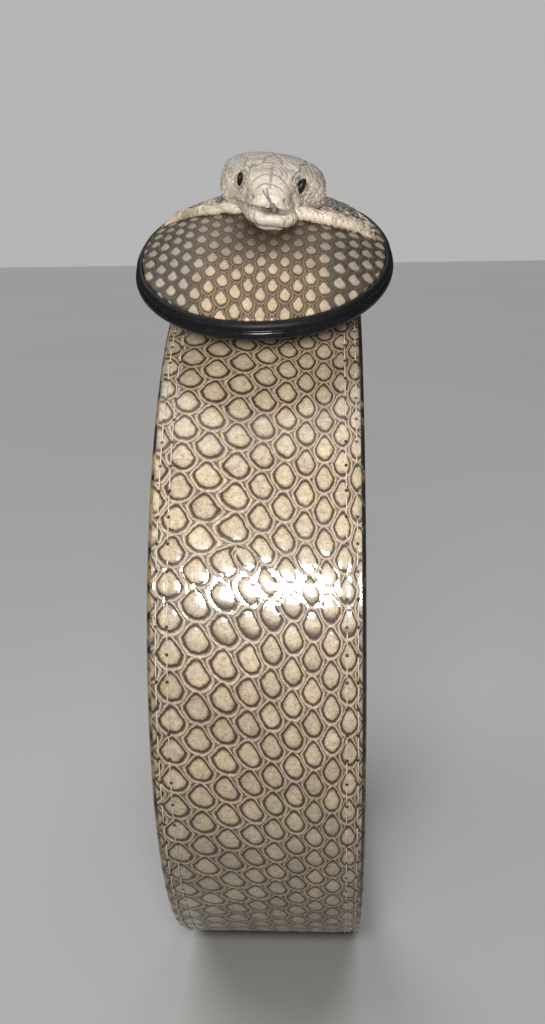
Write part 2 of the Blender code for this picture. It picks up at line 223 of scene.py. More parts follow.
def coil_points(turn, depth):
    """Points in the plane across X so deep below the skin face, flattened at the bottom."""
    radius = skin_radius(turn) - depth
    angle = np.radians(turn + BAR_TURN)
    bottom = 360.0 * np.floor((turn + BAR_TURN) / 360.0) + 180.0 - BAR_TURN
    level = skin_radius(bottom) - depth - FLATTEN
    drop = soft_min(-radius * np.cos(angle), level, FLATTEN_BLEND)
    return stacked(radius * np.sin(angle), CENTRE_HEIGHT - drop)


def ring_points(turn, radius):
    angle = np.radians(turn + BAR_TURN)
    return stacked(radius * np.sin(angle), CENTRE_HEIGHT + radius * np.cos(angle))


def strap_path():
    """The strap's skin face and the underside of its skin, point by point along its length."""
    near = WIRE_RADIUS + FIT_GAP
    far = near + FOLD_THICK
    below = np.arange(FOLD_END_TURN, 0.0, -0.5)
    face = [ring_points(below, BAR_RADIUS - far)]
    inner = [ring_points(below, BAR_RADIUS - near)]
    bar = ring_points(np.array([0.0]), BAR_RADIUS)
    swing = np.radians(BAR_TURN) - np.pi * np.linspace(1.0, 0.0, 33)
    away = stacked(np.sin(swing), np.cos(swing))
    face.append(bar + far * away)
    inner.append(bar + near * away)
    turn = np.arange(0.25, END_TURN + 0.01, 0.25)
    thick = FOLD_THICK + (SKIN_THICK - FOLD_THICK) * smooth(turn / SKIVE_TURN)
    face.append(coil_points(turn, 0.0))
    inner.append(coil_points(turn, thick))
    face = np.concatenate(face)
    inner = np.concatenate(inner)
    steps = np.hypot(*np.diff(face, axis=0).T)
    length = np.concatenate([[0.0], np.cumsum(steps)])
    start = length[len(below) + 32]
    turns = np.concatenate([-below, np.zeros(33), turn])
    return {"s": length - start, "face": face, "inner": inner, "turn": turns}


PATH = strap_path()


def length_at(turn):
    return float(np.interp(turn, PATH["turn"], PATH["s"]))


def strap_points(s, x, up, lift):
    """Points at length s and x across, up from the underside (0) to the face (1), then lifted."""
    sides = []
    for label in ("face", "inner"):
        y, z = PATH[label].T
        sides.append(stacked(np.interp(s, PATH["s"], y), np.interp(s, PATH["s"], z)))
    face, inner = sides
    out = face - inner
    out /= np.linalg.norm(out, axis=-1, keepdims=True)
    flat = inner + (face - inner) * np.asarray(up)[..., None] + out * np.asarray(lift)[..., None]
    return stacked(x, flat[..., 0], flat[..., 1])


def tip_scale(s):
    """Part of the full width that the strap has, rounded off towards the tip."""
    turn = np.interp(s, PATH["s"], PATH["turn"])
    along = np.clip((turn - END_TURN + TIP_TURN) / TIP_TURN, 0.0, 1.0)
    return np.sqrt(1.0 - 0.97 * along**2.2)


# Patterns of scales


def wave(x, y, scale, seed):
    """A smooth wander between about -1 and 1, the same each run."""
    a = np.sin(x / scale * 1.7 + seed) * np.cos(y / scale * 1.3 - seed * 2.1)
    b = np.sin(x / scale * 0.9 - y / scale * 1.9 + seed * 3.7)
    c = np.cos(x / scale * 2.6 + y / scale * 0.8 + seed * 1.3)
    return (a + 0.7 * b + 0.5 * c) / 1.6


def strap_lattice(x, s, left):
    """Column and row numbers, with decimals, of a place on the strap.

    A column splits in two, so the columns to its left are counted one further below the split.
    """
    numbers = FIRST_COLUMN + np.arange(len(UPPER_PLACES))
    start, length = SPLIT_NEAR
    near = smooth((start - s) / length)
    start, length = SPLIT_LEFT if left else SPLIT_RIGHT
    low = smooth((start - s) / length)
    low = near + (low - near) * smooth(np.abs(x - SPLIT_SIDE) / SPLIT_SPREAD)
    extra = 1.0 if left else 0.0
    column = np.interp(x, UPPER_PLACES, numbers)
    column += low * (np.interp(x, LOWER_PLACES, numbers) + extra - column)
    lean = np.interp(x, UPPER_PLACES, UPPER_LEANS)
    lean += low * (np.interp(x, LOWER_PLACES, LOWER_LEANS) + 0.5 * extra - lean)
    row = s / ROW_PITCH + lean + ROW_PHASE
    return column + 0.05 * wave(x, s, 9.0, 1.0), row + 0.04 * wave(x, s, 11.0, 2.6)


def scale_reach(column, row, taper=TAPER):
    """How far out from the middle of its scale a place is: 1 at the rim of its light face."""
    best = np.inf
    for shift in (0.0, 1.0):
        across = (column - shift + 1.0) % 2.0 - 1.0
        along = (row - 0.5 * shift + 0.5) % 1.0 - 0.5
        narrow = 1.0 + taper * np.maximum(along, 0.0) / FACE_HALF_HEIGHT
        reach = np.hypot(across * narrow / FACE_HALF_WIDTH, along / FACE_HALF_HEIGHT)
        best = np.minimum(best, reach)
    return best


def scale_relief(reach):
    """Height of the glazed surface: a cushioned scale, a groove round it and a raised net."""
    cushion = 0.08 * (1.0 - np.clip(reach, 0.0, 1.0) ** 4)
    return cushion - 0.09 * bump_at(reach - 1.06, 0.09) + 0.07 * bump_at(reach - 1.27, 0.10)


# Meshes


def kept_mesh(build, name, rounded=True):
    """The mesh of a finished build, shaded smooth unless rounded is false."""
    mesh = bpy.data.meshes.new(name)
    build.to_mesh(mesh)
    build.free()
    if rounded:
        mesh.shade_smooth()
    return mesh


def vertex_places(mesh):
    flat = np.empty(len(mesh.vertices) * 3)
    mesh.vertices.foreach_get("co", flat)
    return flat.reshape(-1, 3)


def keep_values(mesh, values):
    """Stores single numbers under their names, one for each point."""
    for label, value in values.items():
        layer = mesh.attributes.new(label, "FLOAT", "POINT")
        layer.data.foreach_set("value", value.astype(np.float32))


def shaped_grid(name, columns, rows, place, maps, values=(), wrap=False, caps=False):
    """A grid bent by place, which takes u and v from 0 to 1 and gives points in mm.

    maps names the two-number patterns that place gives as well, and values its single numbers.
    """
    build = bmesh.new()
    bmesh.ops.create_grid(build, x_segments=columns, y_segments=rows, size=0.5)
    mesh = kept_mesh(build, name)
    flat = vertex_places(mesh)
    made = place(flat[:, 0] + 0.5, flat[:, 1] + 0.5)
    mesh.vertices.foreach_set("co", (made["points"] * MM).ravel())
    corner = np.empty(len(mesh.loops), dtype=np.int32)
    mesh.loops.foreach_get("vertex_index", corner)
    for label in maps:
        layer = mesh.uv_layers.new(name=label)
        layer.data.foreach_set("uv", stacked(*made[label])[corner].ravel())
    keep_values(mesh, {label: made[label] for label in values})
    if wrap or caps:
        build = bmesh.new()
        build.from_mesh(mesh)
        if wrap:
            rim = [v for v in build.verts if v.is_boundary]
            bmesh.ops.remove_doubles(build, verts=rim, dist=1e-6)
        if caps:
            bmesh.ops.holes_fill(build, edges=[e for e in build.edges if e.is_boundary], sides=0)
        bmesh.ops.recalc_face_normals(build, faces=build.faces)
        build.to_mesh(mesh)
        build.free()
    mesh.shade_smooth()
    return add_piece(name, mesh)


def add_piece(name, data):
    made = bpy.data.objects.new(name, data)
    bpy.context.scene.collection.objects.link(made)
    return made


def finish_piece(piece, body, finish, nodes=()):
    """Gives a piece its material, hangs it on its body, and hides the solid model's parts that it
    stands for.
    """
    piece.data.materials.clear()
    piece.data.materials.append(finish)
    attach(piece, body)
    if nodes:
        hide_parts(*nodes)
    return piece


# Strap


def band_section(half, corner, level, rise, steps, face_x, face_up, floor):
    """x and height above the underside, in mm, once round a band from its middle below.

    Each edge bulges by corner past the band's flat part, and climbs by rise both ways from level.
    """
    turn = np.linspace(-math.pi / 2, math.pi / 2, steps)
    edge_x = half - corner + corner * np.cos(turn)
    edge_up = level + rise * np.sin(turn)
    x = np.concatenate([[0.0], edge_x, face_x, -edge_x[::-1], [0.0]])
    up = np.concatenate([[floor], edge_up, face_up, edge_up[::-1], [floor]])
    return x, up


def strap_section(face_cells):
    """The skin's section, and how far each of its points has gone round the edge, from 0 to 1."""
    half = 0.5 * STRAP_WIDTH
    face_x = np.linspace(half - 0.9, 0.9 - half, face_cells)
    face_up = SKIN_THICK - 0.28 * np.clip((np.abs(face_x) - 13.0) / 5.1, 0.0, 1.0) ** 2
    x, up = band_section(half, 0.7, 1.12, 1.0, EDGE_STEPS, face_x, face_up, 0.12)
    side = np.concatenate([[1.0], np.linspace(1.0, 0.25, EDGE_STEPS)])
    return x, up, np.concatenate([side, np.zeros(face_cells), side[::-1]])


def make_strap_hide(name, first, last, cells, finish):
    """One stretch of the strap's skin, from length first to last, with its scales in relief."""
    face_cells, step = cells
    section_x, section_up, section_edge = strap_section(face_cells)
    columns = len(section_x) - 1
    rows = max(2, round((last - first) / step))

    def place(u, v):
        index = np.rint(u * columns).astype(int)
        s = first + (last - first) * v
        width = tip_scale(s)
        x = section_x[index] * width
        up = section_up[index] / SKIN_THICK
        on_face = section_edge[index] < 0.01
        counted_left = strap_lattice(x, s, True)
        counted_right = strap_lattice(x, s, False)
        reach = np.where(x < SPLIT_SIDE, scale_reach(*counted_left), scale_reach(*counted_right))
        quiet = np.clip((18.3 - np.abs(x)) / 0.8, 0.0, 1.0) * on_face
        lift = scale_relief(reach) * quiet
        for side in SEAM_SIDES:
            lift = lift - 0.12 * bump_at(x - side, 0.45) * on_face
        return {
            "points": strap_points(s, x, up, lift),
            "scales": counted_right,
            "scales_left": counted_left,
            "measure": (x, s),
            "edge": section_edge[index],
        }

    maps = ("scales", "scales_left", "measure")
    made = shaped_grid(name, columns, rows, place, maps, ("edge",), True, True)
    return finish_piece(made, "strap", finish, ("strap_skin",))


def make_backing(finish):
    """The leather lining behind the skin, with its corners rounded."""
    first = length_at(LINING_START)
    last = length_at(END_TURN - 0.8)
    half = 0.5 * STRAP_WIDTH - 0.4
    face_x = np.linspace(half - 0.6, 0.6 - half, BACKING_CELLS)
    face_up = np.full(BACKING_CELLS, LINING_THICK)
    xs, ups = band_section(half, 0.4, 0.55, 0.55, 5, face_x, face_up, 0.0)
    columns = len(xs) - 1

    def place(u, v):
        index = np.rint(u * columns).astype(int)
        s = first + (last - first) * v
        x = xs[index] * tip_scale(s)
        lift = ups[index] - SKIN_THICK - FIT_GAP - LINING_THICK
        return {"points": strap_points(s, x, np.ones_like(s), lift), "measure": (x, s)}

    made = shaped_grid("strap_backing", columns, BACKING_ROWS, place, ("measure",), (), True, True)
    return finish_piece(made, "strap", finish, ("strap_lining",))


def cut_holes(piece):
    """The buckle holes near the tip, cut right through."""
    build = bmesh.new()
    total = SKIN_THICK + FIT_GAP + LINING_THICK
    for number in range(HOLE_COUNT):
        turn = END_TURN - FIRST_HOLE_BACK - HOLE_STEP * number
        y, z = ring_points(np.array([turn]), skin_radius(turn) - 0.5 * total)[0]
        turned = Matrix.Rotation(math.radians(-(turn + BAR_TURN)), 4, "X")
        place = Matrix.Translation(Vector((0.0, y, z)) * MM) @ turned
        bmesh.ops.create_cone(
            build,
            cap_ends=True,
            segments=24,
            radius1=HOLE_RADIUS * MM,
            radius2=HOLE_RADIUS * MM,
            depth=(total + 1.0) * MM,
            matrix=place,
        )
    tool = add_piece("hole_cutter", kept_mesh(build, "hole_cutter", False))
    cut = piece.modifiers.new("Holes", "BOOLEAN")
    cut.operation = "DIFFERENCE"
    cut.solver = "EXACT"
    cut.object = tool
    bake_modifiers(piece)
    bpy.data.objects.remove(tool)


def bake_modifiers(piece):
    """Keeps the shape that a piece's modifiers give it, and drops the modifiers."""
    graph = bpy.context.evaluated_depsgraph_get()
    mesh = bpy.data.meshes.new_from_object(piece.evaluated_get(graph))
    piece.modifiers.clear()
    old = piece.data
    piece.data = mesh
    bpy.data.meshes.remove(old)


def make_stitching(name, level, up_sign, first, last, finish):
    """Rows of short threads along both edges, each dipping into its needle holes."""
    build = bmesh.new()
    bmesh.ops.create_cone(build, cap_ends=True, segments=6, radius1=1.0, radius2=1.0, depth=1.0)
    sides = [e for e in build.edges if abs(e.verts[0].co.z - e.verts[1].co.z) > 0.5]
    bmesh.ops.subdivide_edges(build, edges=sides, cuts=5)
    shape = kept_mesh(build, "thread_form")
    form = vertex_places(shape)
    along = form[:, 2] * 2.0
    dip = -0.42 * np.abs(along) ** 6
    thin = 1.0 - 0.35 * np.abs(along) ** 4
    build = bmesh.new()
    count = int((last - first) / STITCH_PITCH)
    for side in SEAM_SIDES:
        for number in range(count):
            middle = first + (number + 0.5) * STITCH_PITCH
            sway = 0.05 * math.sin(number * 12.9 + side)
            s = middle + along * 0.5 * STITCH_LENGTH
            x = side * tip_scale(s) + sway + form[:, 0] * THREAD_RADIUS * thin
            lift = level + up_sign * (0.06 + dip + form[:, 1] * THREAD_RADIUS * thin)
            points = strap_points(s, x, np.ones_like(s), lift) * MM
            before = len(build.verts)
            build.from_mesh(shape)
            build.verts.ensure_lookup_table()
            for vert, point in zip(build.verts[before:], points):
                vert.co = point
    bmesh.ops.recalc_face_normals(build, faces=build.faces)
    return finish_piece(add_piece(name, kept_mesh(build, name)), "strap", finish)


# Buckle plate


def plate_matrix():
    tilt = math.radians(PLATE_TILT)
    along = Vector((0.0, math.cos(tilt), math.sin(tilt)))
    out = Vector((0.0, -math.sin(tilt), math.cos(tilt)))
    turned = Matrix((Vector((1.0, 0.0, 0.0)), along, out)).transposed().to_4x4()
    centre = Vector((0.0, 0.0, CENTRE_HEIGHT)) + out * PLATE_OUT + along * PLATE_BACK
    return Matrix.Translation(centre) @ turned


PLATE = plate_matrix()


def placed(matrix, points):
    """Points in mm carried by a matrix whose place is in mm."""
    turned = np.array(matrix.to_3x3())
    return points @ turned.T + np.array(matrix.translation)


def oval_points(angle, inset):
    across = np.cos(angle)
    along = np.sin(angle)
    power = 2.0 / OVAL_POWER
    x = (HALF_WIDTH - inset) * np.sign(across) * np.abs(across) ** power
    y = (HALF_LENGTH - inset) * np.sign(along) * np.abs(along) ** power
    return x, y


def dome_out(x, y):
    """Height of the domed cover above the middle plane of the rim."""
    a = np.abs(x) / (HALF_WIDTH - COVER_INSET)
    b = np.abs(y) / (HALF_LENGTH - COVER_INSET)
    reach = np.minimum(1.0, (a**OVAL_POWER + b**OVAL_POWER) ** (1.0 / OVAL_POWER))
    return COVER_EDGE + DOME_HEIGHT * (1.0 - reach**DOME_POWER)


def cover_lattice(x, y):
    """Column and row numbers of a place on the plate's cover, where rows climb to the left."""
    numbers = FIRST_COVER_COLUMN + np.arange(len(COVER_COLUMNS))
    column = np.interp(x, COVER_COLUMNS, numbers)
    left = np.maximum(-1.8 - x, 0.0)
    right = np.maximum(x - 2.5, 0.0)
    climb = 0.3 * left + 0.012 * left**2 + 0.11 * right
    row = (y - climb) / COVER_ROW + 0.10
    return column + 0.08 * wave(x, y, 7.0, 4.0), row + 0.07 * wave(x, y, 8.0, 5.2)


def make_cover(finish):
    """The domed skin over the plate, a disc of rings that closes under its edge."""
    columns, rows, wall = COVER_GRID

    def place(u, v):
        angle = 2.0 * math.pi * u
        ring = np.rint(v * rows)
        reach = np.clip((ring - wall) / (rows - wall), 0.0, 1.0)
        reach = np.where(ring < wall, 1.0, 1.0 - reach)
        down = np.clip((wall - ring) / wall, 0.0, 1.0)
        x, y = oval_points(angle, COVER_INSET)
        x, y = x * reach, y * reach
        out = COVER_EDGE + DOME_HEIGHT * (1.0 - reach**DOME_POWER)
        column, row = cover_lattice(x, y)
        ragged = 0.25 * wave(x, y, 2.0, 7.0)
        quiet = smooth((1.0 - reach) / 0.03)
        out = out + 1.2 * scale_relief(scale_reach(column, row, COVER_TAPER)) * quiet
        out = out + down * (COVER_BASE - COVER_EDGE)
        flank = smooth((np.abs(x) - 9.0) / 6.0)
        # Painted shadow: darkest in the middle towards the back, fading forward from below the
        # head's chin
        shade = bump_at(x - 1.0, 12.0) * smooth((y + 19.0) / 11.0)
        stretch = 1.0 + 0.01 * ragged * (1.0 - quiet)
        x, y = x * stretch, y * stretch
        points = placed(PLATE, stacked(x, y, out))
        return {
            "points": points,
            "scales": (column, row),
            "edge": reach,
            "flank": flank,
            "shade": shade,
        }

    values = ("edge", "flank", "shade")
    made = shaped_grid("plate_cover", columns, rows, place, ("scales",), values, True, True)
    weld_centre(made)
    return finish_piece(made, "buckle", finish, ("buckle_cover",))


def weld_centre(piece):
    """Closes a pole where a row of grid points meets in one place."""
    build = bmesh.new()
    build.from_mesh(piece.data)
    bmesh.ops.remove_doubles(build, verts=build.verts, dist=1e-7)
    bmesh.ops.recalc_face_normals(build, faces=build.faces)
    build.to_mesh(piece.data)
    build.free()
    piece.data.shade_smooth()


def make_rim(finish):
    """The black edging: a fat glossy bead, a groove, and a duller strip that leans inwards."""
    turn = np.radians(np.linspace(-90.0, 62.0, 11))
    bead = [(1.05 - 1.05 * math.cos(a), -0.92 + 1.08 * math.sin(a)) for a in turn]
    strip = [(0.42, 0.12), (0.33, 0.34), (0.37, 0.64), (0.55, 1.0), (0.86, 1.3), (1.2, 1.46)]
    lip = [(1.45, 1.46), (1.45, -1.2), (2.4, -1.2), (2.4, -2.0)]
    section = bead + strip + lip
    inset = np.array([p[0] for p in section] + [section[0][0]])
    out = np.array([p[1] for p in section] + [section[0][1]])
    strip_part = np.array([0.0] * len(bead) + [1.0] * len(strip) + [0.6] * len(lip) + [0.0])
    columns = len(section)

    def place(u, v):
        index = np.rint(u * columns).astype(int)
        angle = 2.0 * math.pi * v
        wander = 0.05 * np.sin(angle * 7.0) + 0.04 * np.sin(angle * 17.0 + 1.0)
        x, y = oval_points(angle, inset[index] + wander * (strip_part[index] == 1.0))
        points = placed(PLATE, np.stack([x, y, out[index]], axis=-1))
        return {"points": points, "edge": strip_part[index]}

    made = shaped_grid("rim_edging", columns, RIM_ROWS, place, (), ("edge",), True)
    weld_centre(made)
    return finish_piece(made, "buckle", finish, ("buckle_rim",))


# Head


def head_matrix():
    pitch = Matrix.Rotation(math.radians(HEAD_PITCH), 4, "X")
    roll = Matrix.Rotation(math.radians(HEAD_ROLL), 4, "Y")
    return Matrix.Translation(PLATE @ Vector(MOUTH_PLACE)) @ pitch @ roll


HEAD = head_matrix()

# How far behind the snout, half width, top and bottom of the head, in mm
HEAD_STATIONS = np.array(
    [
        (0.00, 0.0, 0.7, 0.5),
        (0.12, 2.0, 1.9, -1.2),
        (0.50, 3.2, 2.8, -2.9),
        (1.40, 4.1, 3.6, -4.0),
        (3.00, 4.8, 4.3, -4.4),
        (5.50, 5.5, 5.0, -4.4),
        (8.50, 6.8, 5.7, -4.3),
        (12.0, 8.8, 6.3, -4.2),
        (15.6, 9.8, 6.6, -4.0),
        (19.5, 10.0, 6.5, -3.9),
        (23.0, 9.3, 5.8, -3.9),
        (26.5, 7.6, 4.2, -4.1),
        (29.3, 5.2, 1.6, -4.3),
        (31.2, 2.8, -1.2, -4.6),
        (32.0, 0.0, -3.0, -3.0),
    ]
)

# Swellings (above 0) and hollows on both sides of the head: height, middle, and widths, in mm
HEAD_BUMPS = (
    (0.60, (5.0, 8.8, 5.2), (1.4, 3.6, 1.6)),
    (-1.15, (6.6, 8.3, 3.1), (2.2, 1.5, 1.5)),
    (-0.55, (5.0, 4.4, 2.2), (2.2, 1.9, 1.1)),
    (0.30, (9.8, 15.0, 3.4), (3.0, 4.2, 2.2)),
    (0.95, (8.6, 14.0, -1.6), (3.2, 4.4, 2.4)),
    (0.35, (0.0, 7.0, 5.4), (2.6, 3.2, 2.0)),
    (-0.35, (3.0, 10.0, 6.2), (0.8, 2.4, 1.5)),
)

# Creases between the shields on top of the head, on one side: x across, y behind the snout
SHIELD_CREASES = (
    ((0.0, 2.0), (0.0, 11.6)),
    ((0.0, 3.1), (1.2, 2.9), (2.3, 2.0)),
    ((0.0, 6.0), (1.5, 5.7), (2.8, 4.8), (3.8, 3.6)),
    ((0.0, 11.8), (2.0, 11.5), (3.8, 10.3), (4.5, 8.6), (4.2, 6.4)),
    ((1.9, 11.6), (1.6, 14.5), (0.0, 17.2)),
    ((4.5, 8.6), (5.6, 11.0), (5.0, 13.4), (1.7, 14.4)),
    ((0.0, 17.2), (0.0, 24.0)),
    ((5.0, 13.4), (6.6, 16.5), (6.2, 20.5), (3.5, 24.0), (0.0, 24.4)),
    ((6.4, 15.6), (8.8, 14.8)),
    ((6.5, 18.8), (9.6, 18.6)),
)


def line_distance(x, y, points):
    """Distance of places from a bent line."""
    best = np.inf
    for (ax, ay), (bx, by) in zip(points, points[1:]):
        dx, dy = bx - ax, by - ay
        t = np.clip(((x - ax) * dx + (y - ay) * dy) / (dx * dx + dy * dy), 0.0, 1.0)
        best = np.minimum(best, np.hypot(x - ax - t * dx, y - ay - t * dy))
    return best


def spot(x, y, z, middle, widths):
    """A smooth bump of height 1 at a place on both sides of the head."""
    a = (np.abs(x) - middle[0]) / widths[0]
    b = (y - middle[1]) / widths[1]
    c = (z - middle[2]) / widths[2]
    return np.exp(-(a * a + b * b + c * c))


def folds(x, y, z, scale, seed, depth=3):
    """Sharp-bottomed wrinkles between 0 and 1, from folded noise."""
    found = np.empty_like(x)
    for i in range(len(x)):
        point = Vector((x[i] * scale + seed, y[i] * scale, z[i] * scale))
        found[i] = noise.fractal(point, 1.0, 2.0, depth)
    return 1.0 - np.clip(np.abs(found) * 2.2, 0.0, 1.0)


def make_head_skin(finish):
    """The head's skin, from a plain form that is sculpted along its own faces' directions."""
    back = HEAD_STATIONS[:, 0]

    def place(u, v):
        y = back[-1] * v**1.6
        half = np.interp(y, back, HEAD_STATIONS[:, 1])
        top = np.interp(y, back, HEAD_STATIONS[:, 2])
        low = np.interp(y, back, HEAD_STATIONS[:, 3])
        angle = 2.0 * math.pi * u - 0.5 * math.pi
        side = np.cos(angle)
        rise = np.sin(angle)
        power = 0.62 + 0.18 * smooth((y - 4.0) / 8.0)
        x = half * np.sign(side) * np.abs(side) ** power
        chin = smooth((4.5 - y) / 3.0)
        x = x * (1.0 - (0.05 + 0.17 * chin) * smooth(-rise * 1.3))
        z = 0.5 * (top + low) + 0.5 * (top - low) * np.sign(rise) * np.abs(rise) ** 0.82
        x = x * (1.0 - 0.15 * bump_at(z - 0.3, 1.8) * smooth((7.0 - y) / 3.0))
        x = x + MOUTH_SIDE * smooth((1.5 - z) / 3.0) * smooth((9.0 - y) / 6.0)
        return {"points": stacked(x, y, z)}

    made = shaped_grid("head_skin", *HEAD_GRID, place, (), (), True)
    weld_centre(made)
    sculpt(made, lambda x, y, z, up: (head_forms(x, y, z), {}))
    sculpt(made, head_details)
    small = Matrix.Diagonal((MM, MM, MM, 1.0))
    for step in (small.inverted(), HEAD, small):
        made.data.transform(step)
    return finish_piece(made, "buckle", finish, ("snake_head",))


def sculpt(piece, heights):
    """Moves each point along its normal, and keeps the tones that heights gives with it.

    heights takes each point's place in mm, and how far its normal points up.
    """
    mesh = piece.data
    points = vertex_places(mesh)
    normals = np.array([v.normal for v in mesh.vertices])
    height, tones = heights(*(points / MM).T, normals[:, 2])
    points = points + normals * (height * MM)[:, None]
    mesh.vertices.foreach_set("co", points.ravel())
    mesh.update()
    keep_values(mesh, tones)


def mouth_level(x, y):
    """Height of the line between the lips, which drops a little towards its corners."""
    return 0.10 * np.sin((x - MOUTH_SIDE) * 1.7 + 0.6) - 0.15 * np.clip(y - 1.0, 0.0, 9.0)


def head_forms(x, y, z):
    """The brows, the hollows for the eyes, the temples, the muzzle and the lips."""
    above = z - mouth_level(x, y)
    lips = smooth((15.0 - y) / 4.0)
    height = sum(size * spot(x, y, z, middle, widths) for size, middle, widths in HEAD_BUMPS)
    height += 0.75 * bump_at(above + 1.75, 1.3) * smooth((6.0 - y) / 3.0)
    height += 0.30 * bump_at(above - 0.85, 0.5) * lips
    height -= 0.30 * bump_at(above + 3.1, 0.35) * lips
    height += 0.55 * smooth(x / 9.0) * spot(x, y, z, (9.8, 16.0, 2.5), (3.0, 5.0, 3.0))
    flap = spot(x, y, z, (10.2, 12.8, 0.6), (2.0, 2.0, 2.3))
    return height + 1.7 * flap * (x > 0.0)


def head_details(x, y, z, up):
    """The gap of the mouth, nostrils, shields, lip scales and the wrinkles of dried skin, plus
    painted shade on top and underneath.
    """
    above = z - mouth_level(x, y)
    middle = bump_at(x - MOUTH_SIDE, 2.6) * smooth((3.5 - y) / 2.0)
    gap = bump_at(above, 0.24 + 0.20 * middle)
    front = smooth((3.4 - y) / 2.2)
    height = -(0.16 * smooth((14.5 - y) / 3.0) + front * (0.35 + 0.75 * middle)) * gap
    # Painted shade: the underside below the mouth line is darkened, carried in dark with the mouth
    # gap and nostrils
    under = 0.22 * smooth((-1.0 - above) / 2.0)
    dark = np.maximum(under, gap * front * (0.45 + 0.55 * middle))
    nostril = spot(x, y, z, (3.1, 1.2, 2.0), (0.42, 0.42, 0.30))
    height -= 0.45 * nostril
    crease = np.zeros_like(x)
    wander = 0.22 * wave(x, y, 1.7, 3.0)
    for points in SHIELD_CREASES:
        distance = line_distance(np.abs(x + wander), y + wander, points)
        crease = np.maximum(crease, bump_at(distance, 0.20))
    crease = crease * smooth((up - 0.15) / 0.3)
    beat = np.abs(((y + 0.30 * np.abs(x)) / 2.1 + 0.5) % 1.0 - 0.5) * 2.1
    upper = bump_at(beat, 0.15) * bump_at(above - 0.95, 0.75)
    lower = bump_at(np.abs(beat - 0.9), 0.15) * bump_at(above + 1.6, 0.8)
    crease = np.maximum(crease, 0.8 * np.maximum(upper, lower) * smooth((14.0 - y) / 3.0))
    ring = bump_at(np.hypot((y - 8.3) / 1.05, z - 3.1) - 1.75, 0.20)
    crease = np.maximum(crease, 0.8 * ring * (np.abs(x) > 3.5))
    height -= 0.22 * crease
    cheek = smooth((1.0 - up) / 0.7) * smooth((y - 2.2) / 3.0)
    cheek = np.maximum(cheek, 0.55 * smooth((y - 17.0) / 3.0)) * (0.65 + 0.35 * smooth(x / 4.0))
    lip = smooth((2.2 - np.abs(above)) / 1.6) * smooth((7.0 - y) / 3.0)
    wrinkle = folds(x * 0.8, y, z * 1.25, 0.62, 4.0)
    fine = folds(x, y * 0.8, z, 1.9, 9.0)
    height -= 0.52 * wrinkle**3 * np.maximum(cheek, 0.40 * lip)
    height -= 0.17 * fine**3 * np.maximum(cheek, 0.9 * lip)
    height += 0.05 * np.sin(6.0 * np.hypot(x + 0.8, (y - 6.5) * 0.8) + 3.0 * wander) * (1 - cheek)
    crease = np.maximum(crease, 0.75 * wrinkle**6 * cheek)
    # Painted shade: greys the upward-facing skin on the back part of the head's top
    crown = smooth((y - 10.0) / 4.0) * smooth((up - 0.2) / 0.4)
    return height, {"crease": crease, "dark": np.maximum(dark, 0.8 * nostril), "crown": crown}


def hood_front(x):
    """How far along the plate the hood's front fold lies, so far across it."""
    across, along = HOOD_POINT
    sweep = np.where(x < across, HOOD_SWEEP_LEFT, HOOD_SWEEP_RIGHT)
    return along + sweep * np.abs(x - across) ** HOOD_SWEEP_POWER


def make_hood(finish):
    """The skin of the neck over the back of the plate, with a rolled fold along its front."""
    curl_part = 0.26

    def place(u, v):
        x = HOOD_LEFT + (HOOD_RIGHT - HOOD_LEFT) * u
        front = hood_front(x) + 0.35 * wave(x, x, 2.1, 5.0)
        half = HALF_WIDTH - HOOD_EDGE_INSET
        reach = np.clip(1.0 - (np.abs(x) / half) ** OVAL_POWER, 0.0, 1.0)
        back = (HALF_LENGTH - HOOD_EDGE_INSET) * reach ** (1.0 / OVAL_POWER)
        back = np.maximum(back, front + 1.6)
        ends = smooth((x - HOOD_LEFT) / 4.0) * smooth((HOOD_RIGHT - x) / 4.0)
        near = smooth(1.0 - np.abs(x - 4.0) / 14.0)
        radius = (0.32 + (0.68 + 0.30 * near) * ends) * (1.0 + 0.16 * wave(x, x, 2.6, 2.0))
        curl = np.clip(v / curl_part, 0.0, 1.0)
        over = np.clip((v - curl_part) / (1.0 - curl_part), 0.0, 1.0)
        angle = np.radians(-150.0 + 240.0 * curl)
        rolled = front + radius - radius * np.cos(angle)
        y = np.where(v < curl_part, rolled, front + radius + (back - front - radius) * over)
        floor = dome_out(x, y)
        high = np.where(v < curl_part, radius + radius * np.sin(angle), 2.0 * radius)
        sag = 1.5 * radius * smooth(over / 0.2)
        middle = np.exp(-((np.abs(x - NECK_MIDDLE) / NECK_HALF) ** 3.0))
        neck = middle * np.sin(math.pi * np.clip(over - 0.06, 0.0, 1.0) / 0.94)
        close = smooth((over - 0.9) / 0.1)
        out = floor + 0.08 + (high - sag) * (1.0 - 0.9 * close) + NECK_RISE * neck
        wrinkle = folds(x, y * 1.2, out * 0.3, 0.55, 2.0)
        fine = folds(x, y, out, 1.6, 7.0, 2)
        loose = smooth((x + 4.0) / 8.0) * 0.5 + 0.5
        out = out - (0.46 * wrinkle**3 + 0.14 * fine**3) * loose * (1.0 - close)
        points = placed(PLATE, stacked(x, y, out))
        return {
            "points": points,
            "scales": (x / 1.45, y / 1.7),
            "back": smooth((over - 0.16 + 0.10 * wave(x, y, 3.0, 1.0)) / 0.10),
            "crease": 0.8 * wrinkle**6,
        }

    made = shaped_grid("hood_skin", *HOOD_GRID, place, ("scales",), ("back", "crease"))
    solid = made.modifiers.new("Thickness", "SOLIDIFY")
    solid.thickness = 0.3 * MM
    solid.offset = -1.0
    bake_modifiers(made)
    return finish_piece(made, "buckle", finish, ("snake_head",))


